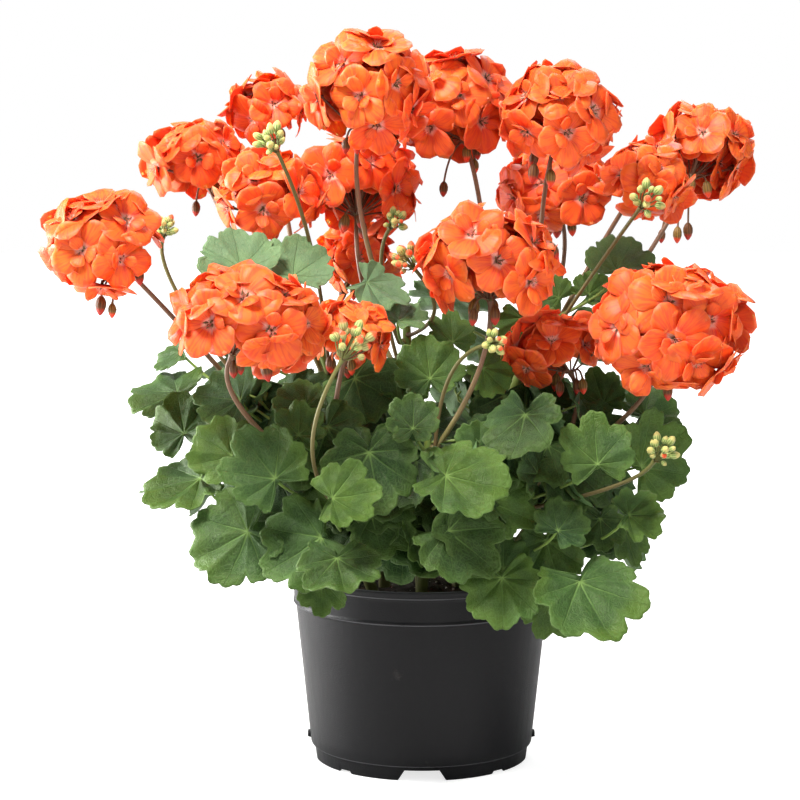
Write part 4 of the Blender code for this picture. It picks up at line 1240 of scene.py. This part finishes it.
petal_skin, tree, shader = finish_of(
    "petal skin", Roughness=0.5, Specular_IOR_Level=0.25, Subsurface_Weight=0.30,
    Subsurface_Radius=(1.0, 0.30, 0.10), Subsurface_Scale=0.003,
    Sheen_Weight=0.05, Sheen_Roughness=0.35, Sheen_Tint=(1.0, 0.72, 0.62, 1.0))
u, v, under = blade_map(tree)
tint = own_value(tree, "tint")
cloud = stain(tree, own_place(tree), 95.0, 3.0)
fan = add(tree, "ShaderNodeCombineXYZ", {"X": (u - 0.5) * (v * -0.7 + 1.6), "Y": v * 0.16, "Z": tint})
veining = stain(tree, fan.outputs[0], 11.0, 2.0)
inner, throat = 1.0 - v.band(0.20, 0.52), 1.0 - v.band(0.08, 0.24)
rim = v.band(0.90, 1.0).math("MAXIMUM", (abs(u - 0.5) * 2.0).band(0.88, 1.0)) * v.band(0.35, 0.6)
lines = veining.band(0.46, 0.60) * (inner * 0.40 + 0.48)
colour = painted(
    (tint * 0.65 + cloud * 0.45).mix((0.78, 0.066, 0.009), (0.90, 0.165, 0.020)),
    (lines.math("MAXIMUM", inner * 0.30), (0.66, 0.028, 0.02)),
    (throat * 0.72, (0.95, 0.52, 0.42)),
    (rim * 0.16, (1.0, 0.36, 0.22)),
    (under * 0.30, (0.88, 0.19, 0.10)),
)
dress(tree, shader, colour, cloud.ramp(0.3, 0.7, 0.42, 0.58), (0.35, 0.0006, veining))

stamen_skin, tree, shader = finish_of("stamens", Roughness=0.5)
dress(tree, shader, map_parts(tree)[1].mix((0.85, 0.40, 0.30), (0.55, 0.07, 0.04)))

floret_meshes = [floret_mesh(kind) for kind in range(FLORET_KINDS)]
for mesh in floret_meshes:
    mesh.materials.append(petal_skin)
    mesh.materials.append(stamen_skin)
florets = kinds_of("floret", floret_meshes)

for letter in HEADS:
    chance = random.Random("petals " + letter)
    growths = []
    mood = chance.uniform(0.0, 0.35)
    for spot, look, size in floret_places(letter):
        turn, deep = facing_turn(look, chance.uniform(0, math.tau)), chance.uniform(0.8, 1.2)
        kind, tint = chance.randrange(FLORET_KINDS), mood + chance.uniform(0.0, 0.65)
        growths.append((spot, turn, (size * MM, size * MM, size * MM * deep), kind, tint))
    piece = grow("flower_head_petals_" + letter, [], growths, **{
        "Stalk Sides": 3, "Size Spread": 0.0, "Spin": 0.0, "Ruffle": 0.0035, "Ruffle Scale": 60.0,
        "Seed": ord(letter), "Growths": florets, "Stalk Material": petal_skin})
    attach(piece, "root")
    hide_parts("flower_head_" + letter)

# The bud clusters: young heads that are still closed. A green stalk ends in a knob, and short stalks spread from
# it to striped green buds, the riper ones red at the tip.
RIPER, USUALLY_RIPE = {"c": 0.5, "d": 0.6}, 0.12  # The share of ripe buds, by cluster and in the others.
# Each cluster: leafy stem, height at which its stalk leaves it, a place on the way, its centre, its radius and
# the number of its main buds.
BUDS = {
    "a": ("06", 290, (-80, -35, 384), (-109, -74, 474), 17, 5),
    "b": ("01", 275, (-178, -20, 350), (-190, -30, 407), 13, 4),
    "c": ("02", 205, (-78, -157, 262), (-50, -170, 338), 22, 6),
    "d": ("07", 325, (9, -52, 348), (-12, -73, 388), 15, 5),
    "e": ("07", 300, (-30, -10, 366), (-20, -30, 412), 13, 4),
    "f": ("08", 296, (114, -12, 350), (162, -78, 432), 17, 5),
    "g": ("04", 205, (138, -86, 222), (172, -105, 252), 16, 5),
    "h": ("03", 235, (18, -92, 300), (50, -135, 334), 13, 4),
}

bud_stalk_skin = stalk_finish(
    "bud stalk skin", {"Roughness": 0.5, "Specular_IOR_Level": 0.3, "Sheen_Weight": 0.04}, 0.12, 650.0,
    lambda tree, age: age.mix((0.095, 0.052, 0.020), (0.095, 0.125, 0.028)), (0.20, 0.13, 0.05), 0.5)
closed = kinds_of("bud kind", skinned(
    (scales_mesh("bud collar", 8, 1.0, 5.0, 2.6, 2.2), bud_stalk_skin),
    (ringed("green bud", BUD, 8), green_bud_skin),
    (ringed("ripe bud", BUD, 8), red_bud_skin)))


def sphere_points(count, low):
    """Directions spread evenly from the top of a ball down to a lower limit."""
    spread = []
    for index in range(count):
        z = 1.0 - (1.0 - low) * (index + 0.35) / count
        flat, turn = math.sqrt(max(0.0, 1.0 - z * z)), index * math.tau * GOLDEN
        spread.append(Vector((flat * math.cos(turn), flat * math.sin(turn), z)))
    return spread


for letter in BUDS:
    stem, height, via, centre, radius, count = BUDS[letter]
    chance = random.Random("closed buds " + letter)
    points, heading = stalk_line(stem, height, via, centre, 0.6 * radius, 16)
    lines = [main_stalk(points, 1.5, 0.0, 1.0, 0.6)]
    knob = points[-1] - heading * 0.5
    turn = heading.to_track_quat("Z", "Y")
    growths = [(knob, facing_turn(heading), (MM * 0.8,) * 3, 0, 0.5)]
    for index, direction in enumerate(sphere_points(count, 0.0) + sphere_points(2 * count, -0.55)):
        main = index < count
        out = (turn @ (direction if main else Matrix.Rotation(1.2, 3, "Z") @ direction)).normalized()
        end = Vector(centre) + out * radius * (0.86 if main else chance.uniform(0.55, 0.85))
        look = ((end - knob).normalized() + out * 0.6).normalized()
        size = (0.72 + 0.015 * radius) * (1.0 if main else chance.uniform(0.65, 0.95))
        base = end - look * (8.0 * size)
        lines.append([(co, 0.5, 1.0) for co in bezier(knob, knob.lerp(base, 0.5) + out * 1.0, base, 5)])
        kind = 2 if chance.random() < RIPER.get(letter, USUALLY_RIPE) else 1
        growths.append((base, facing_turn(look, chance.uniform(0, 6)), (size * MM,) * 3, kind, chance.random()))
    piece = grow("bud_cluster_" + letter + "_closed", lines, growths, **{
        "Stalk Sides": 7, "Size Spread": 0.08, "Spin": 0.0, "Ruffle": 0.0, "Ruffle Scale": 60.0, "Seed": ord(letter),
        "Growths": closed, "Stalk Material": bud_stalk_skin})
    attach(piece, "root")
    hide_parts("bud_cluster_" + letter)

# The sizes before and after dressing, as the script's last value.
low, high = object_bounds()
{"cad": [list(cad_low), list(cad_high)], "visual": [list(low), list(high)]}
